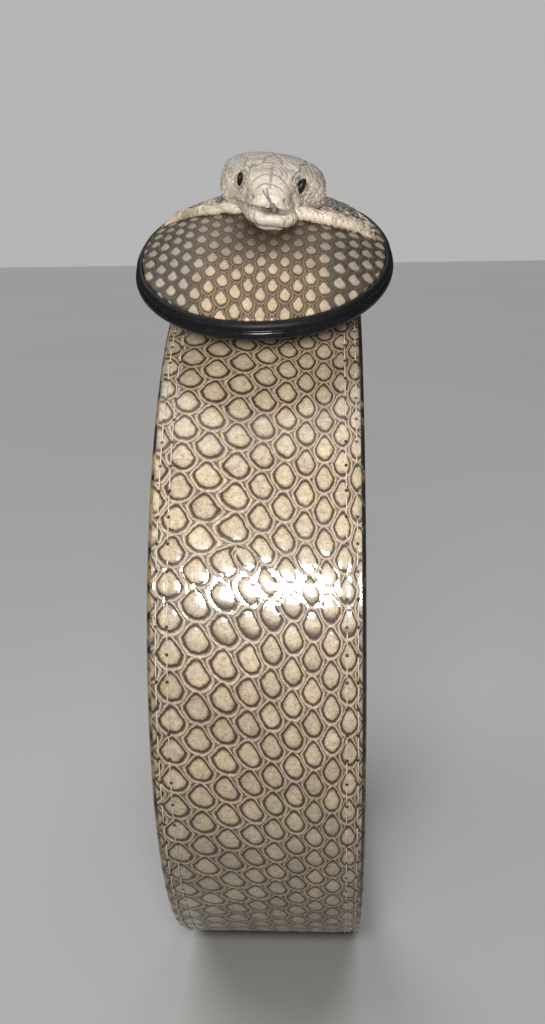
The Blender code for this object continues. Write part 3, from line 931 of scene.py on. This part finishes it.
def make_eye(name, place, radii, tilt, finish, node):
    build = bmesh.new()
    turned = HEAD.to_3x3().to_4x4() @ Matrix.Rotation(math.radians(tilt), 4, "Y")
    size = Matrix.Diagonal((*[r * MM for r in radii], 1.0))
    matrix = Matrix.Translation(HEAD @ Vector(place) * MM) @ turned @ size
    bmesh.ops.create_uvsphere(build, u_segments=32, v_segments=20, radius=1.0, matrix=matrix)
    made = add_piece(name, kept_mesh(build, name))
    return finish_piece(made, "buckle", finish, (node,))


def make_tongue(finish):
    """Dried tongue: a flat stem from the mouth that turns up and forks into two curled tines."""
    side = MOUTH_SIDE
    stem = [(side + 0.5, 2.4, -0.2), (side + 0.5, 0.8, -0.1), (side + 0.5, -0.5, 0.2)]
    stem += [(side + 0.3, -0.9, 0.9), (side - 0.2, -0.9, 1.6)]
    left = stem[3:] + [(side - 1.0, -0.8, 2.4), (side - 1.7, -0.6, 3.2), (side - 2.1, -0.2, 3.8)]
    right = stem[3:] + [(side - 0.8, -0.9, 2.6), (side - 1.3, -0.7, 3.5), (side - 1.4, -0.2, 4.2)]
    meshes = []
    for points, width in ((stem, 0.5), (left, 0.16), (right, 0.16)):
        curve = bpy.data.curves.new("tongue_path", "CURVE")
        curve.dimensions = "3D"
        curve.bevel_depth = width * MM
        curve.bevel_resolution = 3
        curve.use_fill_caps = True
        spline = curve.splines.new("NURBS")
        spline.points.add(len(points) - 1)
        for number, (slot, point) in enumerate(zip(spline.points, points)):
            slot.co = (*(HEAD @ Vector(point) * MM), 1.0)
            slot.radius = 1.0 - 0.5 * number / len(points) if width < 0.4 else 1.0
        spline.use_endpoint_u = True
        spline.order_u = 3
        spline.resolution_u = 6
        guide = add_piece("tongue_path", curve)
        graph = bpy.context.evaluated_depsgraph_get()
        meshes.append(bpy.data.meshes.new_from_object(guide.evaluated_get(graph)))
        bpy.data.objects.remove(guide)
    build = bmesh.new()
    for mesh in meshes:
        build.from_mesh(mesh)
    bmesh.ops.remove_doubles(build, verts=build.verts, dist=1e-7)
    bmesh.ops.recalc_face_normals(build, faces=build.faces)
    made = add_piece("forked_tongue", kept_mesh(build, "forked_tongue"))
    return finish_piece(made, "buckle", finish, ("tongue",))


# Materials


# Colours of the strap's skin and of the cover's, from the middle of a scale (0) outwards
STRAP_COLOURS = (
    (0.0, (0.44, 0.355, 0.245)),
    (0.35, (0.42, 0.335, 0.225)),
    (0.44, (0.27, 0.200, 0.125)),
    (0.482, (0.036, 0.022, 0.013)),
    (0.530, (0.040, 0.025, 0.015)),
    (0.57, (0.13, 0.093, 0.058)),
    (0.600, (0.22, 0.165, 0.108)),
    (0.622, (0.44, 0.352, 0.255)),
    (0.672, (0.39, 0.308, 0.217)),
    (0.705, (0.10, 0.070, 0.043)),
    (1.0, (0.048, 0.032, 0.020)),
)
COVER_COLOURS = (
    (0.0, (0.40, 0.315, 0.212)),
    (0.36, (0.37, 0.288, 0.188)),
    (0.43, (0.21, 0.152, 0.092)),
    (0.47, (0.050, 0.033, 0.019)),
    (0.52, (0.070, 0.047, 0.027)),
    (0.58, (0.14, 0.100, 0.060)),
    (0.625, (0.24, 0.176, 0.110)),
    (0.68, (0.08, 0.055, 0.032)),
    (1.0, (0.045, 0.030, 0.018)),
)
FLANK_COLOURS = ((0.32, (0.31, 0.262, 0.205)), (0.50, (0.050, 0.038, 0.028)))

# Heights and roughness from the middle of a scale outwards
STRAP_HEIGHTS = ((0.0, 0.75), (0.42, 0.62), (0.515, 0.10), (0.63, 0.85), (0.71, 0.42), (1.0, 0.36))
STRAP_ROUGHNESS = ((0.0, 0.36), (0.45, 0.38), (0.52, 0.5), (0.62, 0.40), (1.0, 0.52))
COVER_HEIGHTS = ((0.0, 0.8), (0.38, 0.62), (0.47, 0.12), (0.60, 0.8), (0.70, 0.4), (1.0, 0.36))

# Single colours of the skins
PALE_THREADS = (0.33, 0.255, 0.17)
SMOKE_BROWN = (0.060, 0.042, 0.030)
# Darker band along the outer edges of the strap's face
DARK_EDGE_BAND = (0.030, 0.021, 0.014)
BLACK_UNDERSIDE = (0.008, 0.007, 0.006)
NEEDLE_HOLE = (0.03, 0.02, 0.015)
# Painted shadow on the cover below the head
COVER_SHADE = (0.030, 0.019, 0.011)
COVER_LACQUER = (0.030, 0.022, 0.021)
TORN_LACQUER = (0.52, 0.49, 0.47)
CREASE_BROWN = (0.150, 0.110, 0.072)
# Painted shade on the upward-facing top of the head
PAINTED_CROWN_SHADE_GREY = (0.31, 0.280, 0.240)
# Dark of the mouth gap and nostrils, also used as painted shade on the head's underside
MOUTH_DARK_AND_UNDERSIDE_SHADE = (0.018, 0.012, 0.010)

# Mottled colours, each from its darker parts to its paler ones
TAN_EDGE = ((0.42, (0.010, 0.008, 0.006)), (0.50, (0.13, 0.092, 0.040)), (0.72, (0.30, 0.22, 0.10)))
HEAD_CREAM = (
    (0.36, (0.34, 0.285, 0.225)),
    (0.50, (0.46, 0.395, 0.315)),
    (0.64, (0.54, 0.47, 0.385)),
)
FOLD_WHITE = (
    (0.36, (0.36, 0.295, 0.220)),
    (0.52, (0.54, 0.455, 0.350)),
    (0.68, (0.64, 0.55, 0.435)),
)
HOOD_LIGHT = ((0.44, (0.52, 0.44, 0.34)), (0.56, (0.24, 0.19, 0.135)))
HOOD_DARK = ((0.42, (0.022, 0.019, 0.018)), (0.56, (0.16, 0.135, 0.105)))
BLACK_PAINT = ((0.35, (0.004, 0.004, 0.005)), (0.75, (0.012, 0.011, 0.011)))
LINING_BROWN = ((0.30, (0.045, 0.030, 0.020)), (0.70, (0.095, 0.062, 0.040)))
THREAD_CREAM = ((0.0, (0.34, 0.29, 0.23)), (1.0, (0.58, 0.51, 0.42)))
NICKEL = ((0.3, (0.48, 0.47, 0.46)), (0.7, (0.66, 0.65, 0.63)))
EYE_BLACK = ((0.4, (0.004, 0.004, 0.005)), (0.8, (0.02, 0.016, 0.014)))
TONGUE_GREY = ((0.3, (0.075, 0.060, 0.058)), (0.7, (0.25, 0.205, 0.20)))
FLOOR_GREY = ((0.3, (0.45, 0.45, 0.44)), (0.7, (0.48, 0.48, 0.47)))


class Shader:
    """A material's nodes, added one call at a time."""

    def __init__(self, name):
        self.material = bpy.data.materials.new(name)
        self.material.use_nodes = True
        self.tree = self.material.node_tree
        self.principled = self.tree.nodes["Principled BSDF"]

    def put(self, socket, value):
        if hasattr(value, "is_output"):
            self.tree.links.new(value, socket)
        else:
            socket.default_value = value

    def node(self, kind, settings=(), **inputs):
        made = self.tree.nodes.new(kind)
        for key, value in dict(settings).items():
            setattr(made, key, value)
        for key, value in inputs.items():
            self.put(made.inputs[key.replace("_", " ")], value)
        return made

    def math(self, operation, *values):
        made = self.tree.nodes.new("ShaderNodeMath")
        made.operation = operation
        for socket, value in zip(made.inputs, values):
            self.put(socket, value)
        return made.outputs[0]

    def plus(self, a, b):
        return self.math("ADD", a, b)

    def minus(self, a, b):
        return self.math("SUBTRACT", a, b)

    def times(self, a, b):
        return self.math("MULTIPLY", a, b)

    def scaled(self, value, factor, offset):
        return self.math("MULTIPLY_ADD", value, factor, offset)

    def pick(self, second, a, b):
        """The value a where second is 0, and b where it is 1."""
        return self.scaled(self.minus(b, a), second, a)

    def mix(self, factor, a, b, blend="MIX"):
        made = self.tree.nodes.new("ShaderNodeMix")
        made.data_type = "RGBA"
        made.blend_type = blend
        self.put(made.inputs[0], factor)
        self.put(made.inputs[6], a)
        self.put(made.inputs[7], (*b, 1.0) if isinstance(b, tuple) else b)
        return made.outputs[2]

    def toned(self, colour, *parts):
        """A colour multiplied by each part in turn."""
        for part in parts:
            colour = self.mix(1.0, colour, part, "MULTIPLY")
        return colour

    def ramp(self, value, stops):
        made = self.tree.nodes.new("ShaderNodeValToRGB")
        band = made.color_ramp
        while len(band.elements) < len(stops):
            band.elements.new(0.5)
        for element, (place, colour) in zip(band.elements, stops):
            element.position = place
            element.color = (*colour, 1.0)
        self.put(made.inputs[0], value)
        return made.outputs[0]

    def grey(self, value, stops):
        return self.ramp(value, [(place, (g, g, g)) for place, g in stops])

    def coords(self):
        return self.node("ShaderNodeTexCoord").outputs["Object"]

    def uv(self, label):
        made = self.node("ShaderNodeUVMap", {"uv_map": label})
        parts = self.node("ShaderNodeSeparateXYZ", Vector=made.outputs[0])
        return parts.outputs[0], parts.outputs[1]

    def value(self, label):
        return self.node("ShaderNodeAttribute", {"attribute_name": label}).outputs["Fac"]

    def noise(self, scale, detail, rough=0.55):
        inputs = {"Scale": scale, "Detail": detail, "Roughness": rough}
        return self.node("ShaderNodeTexNoise", Vector=self.coords(), **inputs).outputs[0]

    def cell_lines(self, scale):
        """Distance from the lines between small cells."""
        feature = {"feature": "DISTANCE_TO_EDGE"}
        made = self.node("ShaderNodeTexVoronoi", feature, Vector=self.coords(), Scale=scale)
        return made.outputs[0]

    def bump(self, height, strength, distance):
        made = self.node("ShaderNodeBump", Strength=strength, Distance=distance, Height=height)
        return made.outputs[0]

    def finish(self, colour, rough, normal=None, **inputs):
        inputs.update(Base_Color=colour, Roughness=rough)
        if normal:
            inputs["Normal"] = normal
        for key, value in inputs.items():
            self.put(self.principled.inputs[key.replace("_", " ")], value)
        return self.material


def strap_scales(shader):
    """Column and row at a place on the strap, counted for its own side of the split."""
    left = shader.math("LESS_THAN", shader.uv("measure")[0], SPLIT_SIDE)
    both = zip(shader.uv("scales"), shader.uv("scales_left"))
    return [shader.pick(left, a, b) for a, b in both]


def scale_nodes(shader, place, wobble, taper=TAPER):
    """Nodes for half the reach from the scale's middle, a number per scale, and how far up it."""
    shaken = []
    for part, grain in zip(place, (700.0, 830.0)):
        shake = shader.scaled(shader.noise(grain, 3.0), wobble, -0.5 * wobble)
        shaken.append(shader.plus(part, shake))
    column, row = shaken
    found = []
    for shift in (0.0, 1.0):
        moved = shader.minus(column, shift)
        lifted = shader.minus(row, 0.5 * shift)
        across = shader.math("WRAP", moved, 1.0, -1.0)
        along = shader.math("WRAP", lifted, 0.5, -0.5)
        ahead = shader.math("MAXIMUM", along, 0.0)
        narrow = shader.scaled(ahead, taper / FACE_HALF_HEIGHT, 1.0)
        wide = shader.math("DIVIDE", shader.times(across, narrow), FACE_HALF_WIDTH)
        tall = shader.math("DIVIDE", along, FACE_HALF_HEIGHT)
        reach = shader.math("SQRT", shader.scaled(wide, wide, shader.times(tall, tall)))
        cell = shader.node("ShaderNodeCombineXYZ")
        shader.put(cell.inputs[0], shader.math("ROUND", shader.times(moved, 0.5)))
        shader.put(cell.inputs[1], shader.math("ROUND", lifted))
        shader.put(cell.inputs[2], shift)
        random = shader.node("ShaderNodeTexWhiteNoise", Vector=cell.outputs[0])
        found.append((reach, random.outputs["Value"], along))
    (reach, *first), (other, *second) = found
    nearer = shader.math("LESS_THAN", other, reach)
    picks = [shader.pick(nearer, a, b) for a, b in zip(first, second)]
    return shader.times(shader.math("MINIMUM", reach, other), 0.5), *picks


def strap_material():
    """Glazed skin: cream scales with dark rims, a pale net and mottled brown between."""
    shader = Shader("glazed_strap_skin")
    half, chance, along = scale_nodes(shader, strap_scales(shader), 0.13)
    below = shader.math("MAXIMUM", shader.times(along, -1.0), 0.0)
    colour = shader.ramp(shader.scaled(below, 0.085, half), STRAP_COLOURS)
    speck = shader.grey(shader.noise(2600.0, 2.0), [(0.34, 0.62), (0.45, 1.0)])
    mottle = shader.grey(shader.noise(1100.0, 5.0, 0.7), [(0.30, 0.66), (0.68, 1.20)])
    broad = shader.grey(shader.noise(60.0, 3.0), [(0.30, 0.84), (0.70, 1.08)])
    colour = shader.toned(colour, speck, mottle, broad, shader.scaled(chance, 0.20, 0.88))
    lines = shader.grey(shader.cell_lines(1500.0), [(0.02, 1.0), (0.10, 0.0)])
    between = shader.grey(half, [(0.555, 0.0), (0.61, 0.42)])
    colour = shader.mix(shader.times(lines, between), colour, PALE_THREADS)
    colour = shader.mix(smoke(shader, along, half), colour, SMOKE_BROWN)
    colour = needle_holes(shader, edge_colour(shader, colour))
    height = shader.grey(half, STRAP_HEIGHTS)
    height = shader.scaled(shader.noise(2100.0, 4.0, 0.6), 0.10, height)
    height = shader.scaled(lines, 0.10, height)
    return shader.finish(
        colour,
        shader.grey(half, STRAP_ROUGHNESS),
        shader.bump(height, 0.6, 0.00016),
        Coat_Weight=shader.grey(half, [(0.50, 0.95), (0.57, 0.40)]),
        Coat_Roughness=0.07,
        Specular_IOR_Level=0.25,
    )


def smoke(shader, along, half):
    """A smoky band across the strap, where the lower half of each scale is dark."""
    away = shader.math("ABSOLUTE", shader.minus(shader.uv("measure")[1], SMOKE_AT))
    band = shader.grey(shader.times(away, 0.1), [(0.26, 1.0), (0.52, 0.0)])
    low = shader.grey(shader.plus(along, 0.5), [(0.22, 0.92), (0.46, 0.0)])
    patches = shader.grey(shader.noise(80.0, 3.0), [(0.36, 0.0), (0.52, 1.0)])
    far = shader.grey(shader.noise(34.0, 2.0), [(0.60, 0.0), (0.70, 0.6)])
    band = shader.math("MAXIMUM", shader.times(band, patches), far)
    on_face = shader.grey(half, [(0.50, 1.0), (0.53, 0.0)])
    return shader.times(shader.times(band, low), on_face)


def edge_colour(shader, colour):
    """The skin turned round the edge: tan with black patches, fewer of them on the left."""
    edge = shader.value("edge")
    x = shader.uv("measure")[0]
    right = shader.math("GREATER_THAN", x, 0.0)
    tan = shader.ramp(shader.scaled(right, -0.13, shader.noise(330.0, 4.0, 0.65)), TAN_EDGE)
    # A broken darker band along each outer edge of the face
    rim = shader.times(shader.math("ABSOLUTE", x), 0.05)
    rim = shader.grey(rim, [(0.875, 0.0), (0.915, 0.60), (0.935, 1.0)])
    broken = shader.grey(shader.noise(520.0, 5.0, 0.7), [(0.34, 0.0), (0.54, 1.0)])
    colour = shader.mix(shader.times(rim, broken), colour, DARK_EDGE_BAND)
    colour = shader.mix(shader.grey(edge, [(0.10, 0.0), (0.24, 1.0)]), colour, tan)
    return shader.mix(shader.grey(edge, [(0.50, 0.0), (0.62, 1.0)]), colour, BLACK_UNDERSIDE)


def needle_holes(shader, colour):
    """Small dark holes where each stitch goes down."""
    x, s = shader.uv("measure")
    turn = shader.math("DIVIDE", shader.minus(s, length_at(FOLD_END_TURN)), STITCH_PITCH)
    along = shader.times(shader.math("WRAP", turn, 0.5, -0.5), STITCH_PITCH)
    nearest = None
    for place in SEAM_SIDES:
        across = shader.minus(x, place)
        squares = shader.scaled(across, across, shader.times(along, along))
        nearest = squares if nearest is None else shader.math("MINIMUM", nearest, squares)
    hole = shader.grey(nearest, [(0.05, 1.0), (0.16, 0.0)])
    on_face = shader.math("LESS_THAN", shader.value("edge"), 0.1)
    return shader.mix(shader.times(hole, on_face), colour, NEEDLE_HOLE)


def cover_material():
    """The plate's finer skin: small pale drops on a brown ground, greyer to the sides; painted
    shadow below the head.
    """
    shader = Shader("glazed_cover_skin")
    half, chance = scale_nodes(shader, shader.uv("scales"), 0.16, COVER_TAPER)[:2]
    grey = shader.times(shader.value("flank"), 0.85)
    colour = shader.mix(grey, shader.ramp(half, COVER_COLOURS), shader.ramp(half, FLANK_COLOURS))
    mottle = shader.grey(shader.noise(1300.0, 5.0, 0.7), [(0.30, 0.70), (0.68, 1.16)])
    colour = shader.toned(colour, mottle, shader.scaled(chance, 0.26, 0.84))
    # Painted shadow below the head
    colour = shader.mix(shader.times(shader.value("shade"), 0.90), colour, COVER_SHADE)
    ragged = shader.scaled(shader.noise(420.0, 4.0, 0.7), 0.05, shader.value("edge"))
    lacquer = shader.grey(ragged, [(1.004, 0.0), (1.016, 0.6)])
    colour = shader.mix(lacquer, colour, COVER_LACQUER)
    cut = shader.grey(ragged, [(1.003, 0.0), (1.011, 1.0)])
    torn = shader.grey(shader.noise(900.0, 4.0, 0.7), [(0.52, 0.0), (0.58, 0.9)])
    colour = shader.mix(shader.times(cut, torn), colour, TORN_LACQUER)
    height = shader.scaled(shader.noise(2400.0, 4.0), 0.12, shader.grey(half, COVER_HEIGHTS))
    return shader.finish(
        colour,
        0.44,
        shader.bump(height, 0.5, 0.00014),
        Coat_Weight=0.10,
        Coat_Roughness=0.25,
        Specular_IOR_Level=0.15,
    )


def dried_skin(shader, base):
    """Colour and height with the creases, grain and pebbles that the head and hood share."""
    grain = shader.grey(shader.noise(1500.0, 5.0, 0.65), [(0.30, 0.80), (0.66, 1.06)])
    crease = shader.times(shader.value("crease"), 0.85)
    colour = shader.mix(crease, shader.toned(base, grain), CREASE_BROWN)
    pebbles = shader.grey(shader.cell_lines(1050.0), [(0.0, 0.0), (0.22, 0.35)])
    return colour, shader.scaled(shader.noise(1700.0, 5.0, 0.6), 0.6, pebbles)


def head_material():
    """Bleached dried skin: cream, greyed on top by painted shade, brown in creases, dark in the
    mouth, darkened below by painted shade.
    """
    shader = Shader("bleached_skin")
    base = shader.ramp(shader.noise(190.0, 5.0, 0.6), HEAD_CREAM)
    # Painted shade greys the upward-facing top of the head
    base = shader.mix(shader.times(shader.value("crown"), 0.8), base, PAINTED_CROWN_SHADE_GREY)
    colour, height = dried_skin(shader, base)
    # dark holds the mouth gap, the nostrils and the painted shade on the underside
    return shader.finish(
        shader.mix(shader.value("dark"), colour, MOUTH_DARK_AND_UNDERSIDE_SHADE),
        0.44,
        shader.bump(height, 0.45, 0.00018),
        Coat_Weight=0.18,
        Coat_Roughness=0.3,
        Subsurface_Weight=0.06,
        Subsurface_Scale=0.001,
    )


def hood_material():
    """White folded edge in front, then small scales with black, white and grey patches."""
    shader = Shader("hood_skin")
    fold = shader.ramp(shader.noise(190.0, 5.0, 0.6), FOLD_WHITE)
    half = scale_nodes(shader, shader.uv("scales"), 0.2)[0]
    patches = shader.grey(shader.noise(230.0, 3.0, 0.6), [(0.46, 0.0), (0.50, 1.0)])
    scaly = shader.mix(patches, shader.ramp(half, HOOD_DARK), shader.ramp(half, HOOD_LIGHT))
    colour, height = dried_skin(shader, shader.mix(shader.value("back"), fold, scaly))
    normal = shader.bump(shader.scaled(half, -0.5, height), 0.45, 0.0002)
    return shader.finish(colour, 0.46, normal, Coat_Weight=0.15, Coat_Roughness=0.3)


def black_material():
    """Black edging: glossy on the bead, duller and scuffed on the strip."""
    shader = Shader("black_edging_finish")
    scuff = shader.noise(900.0, 5.0, 0.7)
    rough = shader.scaled(shader.value("edge"), 0.26, shader.scaled(scuff, 0.10, 0.13))
    normal = shader.bump(shader.noise(420.0, 4.0), 0.25, 0.0002)
    return shader.finish(shader.ramp(scuff, BLACK_PAINT), rough, normal, Specular_IOR_Level=0.10)


def lining_material():
    shader = Shader("lining_leather_grain")
    pores = shader.grey(shader.cell_lines(1300.0), [(0.0, 0.0), (0.22, 1.0)])
    broad = shader.noise(70.0, 4.0, 0.6)
    colour = shader.ramp(broad, LINING_BROWN)
    colour = shader.toned(colour, shader.grey(pores, [(0.0, 0.6), (1.0, 1.0)]))
    height = shader.scaled(shader.noise(900.0, 5.0), 0.5, pores)
    rough = shader.scaled(broad, 0.2, 0.45)
    return shader.finish(colour, rough, shader.bump(height, 0.35, 0.00012))


def thread_material():
    shader = Shader("pale_thread")
    twist = shader.node("ShaderNodeTexWave", Vector=shader.coords(), Scale=900.0, Distortion=2.0)
    twist = twist.outputs[1]
    normal = shader.bump(twist, 0.4, 0.00008)
    return shader.finish(shader.ramp(twist, THREAD_CREAM), 0.35, normal, Coat_Weight=0.3)


def mottled_material(name, pattern, stops, rough, bump=None, **inputs):
    """A finish whose colour, roughness and grain all follow one noise."""
    shader = Shader(name)
    tone = shader.noise(*pattern)
    if isinstance(rough, tuple):
        rough = shader.scaled(tone, *rough)
    normal = shader.bump(tone, *bump) if bump else None
    return shader.finish(shader.ramp(tone, stops), rough, normal, **inputs)


# Scene


def make_camera():
    """The camera in front of the coil, at the distance, height and lens that the photo gives."""
    rise = math.radians(CAMERA_ELEVATION)
    yaw = math.radians(CAMERA_YAW)

    def downwards(pitch):
        level = math.cos(pitch)
        return Vector((math.sin(yaw) * level, math.cos(yaw) * level, -math.sin(pitch)))

    ahead = downwards(rise - math.radians(CENTRE_BELOW_AXIS))
    right = Vector((math.cos(yaw), -math.sin(yaw), 0.0))
    up = right.cross(ahead)
    roll = math.radians(CAMERA_ROLL)
    turned_right = math.cos(roll) * right + math.sin(roll) * up
    turned_up = math.cos(roll) * up - math.sin(roll) * right
    centre = Vector((0.0, 0.0, CENTRE_HEIGHT))
    place = centre - downwards(rise) * CAMERA_DISTANCE + right * CAMERA_SHIFT
    camera = bpy.data.cameras.new("camera")
    camera.sensor_width = SENSOR_WIDTH
    camera.lens = LENS_PIXELS / FRAME_HEIGHT * SENSOR_WIDTH
    camera.clip_start = 0.01
    camera.clip_end = 20.0
    made = add_piece("camera", camera)
    turned = Matrix((turned_right, turned_up, -ahead)).transposed().to_4x4()
    made.matrix_world = Matrix.Translation(place * MM) @ turned
    bpy.context.scene.camera = made
    return place, turned_right, turned_up


def add_light(place, target):
    """The small light by the camera, kept to a cone so that the foot of the coil stays dimmer."""
    lamp = bpy.data.lights.new("front_light", "AREA")
    lamp.spread = math.radians(LAMP_SPREAD)
    lamp.shape = "RECTANGLE"
    lamp.energy = LAMP_POWER
    lamp.size, lamp.size_y = LAMP_SIZE
    made = add_piece("front_light", lamp)
    made.location = place
    made.rotation_euler = (target - place).to_track_quat("-Z", "Y").to_euler()


def make_world():
    """Dim, even light all round, and a pale backdrop where the camera looks past the floor."""
    world = bpy.data.worlds.new("studio")
    world.use_nodes = True
    tree = world.node_tree
    background = tree.nodes["Background"]
    background.inputs[0].default_value = BACKDROP_GREY
    path = tree.nodes.new("ShaderNodeLightPath")
    level = tree.nodes.new("ShaderNodeMix")
    level.inputs[2].default_value = WORLD_LIGHT
    level.inputs[3].default_value = BACKDROP_LIGHT
    tree.links.new(path.outputs["Is Camera Ray"], level.inputs[0])
    tree.links.new(level.outputs[0], background.inputs[1])
    bpy.context.scene.world = world


def make_stage(view):
    """A pale floor, a light by the camera and soft light from above and the sides."""
    place, right, up = view
    build = bmesh.new()
    bmesh.ops.create_grid(build, x_segments=1, y_segments=1, size=FLOOR_HALF)
    floor = add_piece("floor", kept_mesh(build, "floor"))
    floor.data.materials.append(mottled_material("pale_floor", (2.0, 3.0), FLOOR_GREY, 0.55))
    lamp = place + up * LAMP_UP - right * LAMP_LEFT
    add_light(lamp * MM, Vector((0.0, -START_RADIUS, LAMP_AIM)) * MM)
    above = bpy.data.lights.new("room_light", "SUN")
    above.energy = ROOM_LIGHT
    above.angle = math.radians(ROOM_SOFTNESS)
    room = add_piece("room_light", above)
    room.rotation_euler = [math.radians(turn) for turn in ROOM_TURN]
    make_world()
    bpy.context.scene.view_settings.view_transform = "Standard"


def main():
    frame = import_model()
    make_stage(make_camera())

    strap_finish = strap_material()
    first = float(PATH["s"][0])
    middle = length_at(FINE_TURN)
    last = float(PATH["s"][-1])
    make_strap_hide("strap_hide", 0.0, middle, FRONT_CELLS, strap_finish)
    make_strap_hide("strap_hide_fold", first, 0.0, FOLD_CELLS, strap_finish)
    inner = make_strap_hide("strap_hide_inner", middle, last, INNER_CELLS, strap_finish)
    backing = make_backing(lining_material())
    cut_holes(inner)
    cut_holes(backing)
    thread = thread_material()
    sewn_from = length_at(FOLD_END_TURN)
    sewn_to = length_at(END_TURN - SEWN_SHORT_OF_TIP)
    make_stitching("stitching", 0.0, 1.0, sewn_from, sewn_to, thread)
    behind = -(SKIN_THICK + FIT_GAP + LINING_THICK)
    make_stitching("stitching_behind", behind, -1.0, sewn_from, sewn_to, thread)

    make_cover(cover_material())
    make_rim(black_material())
    make_head_skin(head_material())
    make_hood(hood_material())
    eye = mottled_material(
        "black_glass_eye", (1500.0, 3.0), EYE_BLACK, (0.2, 0.26), Specular_IOR_Level=0.25
    )
    make_eye("eye_left", *LEFT_EYE, eye, "left_eye")
    make_eye("eye_right", *RIGHT_EYE, eye, "right_eye")
    skin = (1900.0, 5.0, 0.7)
    make_tongue(mottled_material("dried_tongue_skin", skin, TONGUE_GREY, 0.55, (0.4, 0.00012)))

    streaks = (500.0, 6.0, 0.7)
    metal = mottled_material(
        "brushed_nickel", streaks, NICKEL, (0.25, 0.18), (0.12, 0.0001), Metallic=1.0
    )
    for name in ("buckle_back", "buckle_loop", "hook_stud", "snap_cap_left", "snap_cap_right"):
        node = frame["nodes"][name]
        node.data.materials.clear()
        node.data.materials.append(metal)


main()
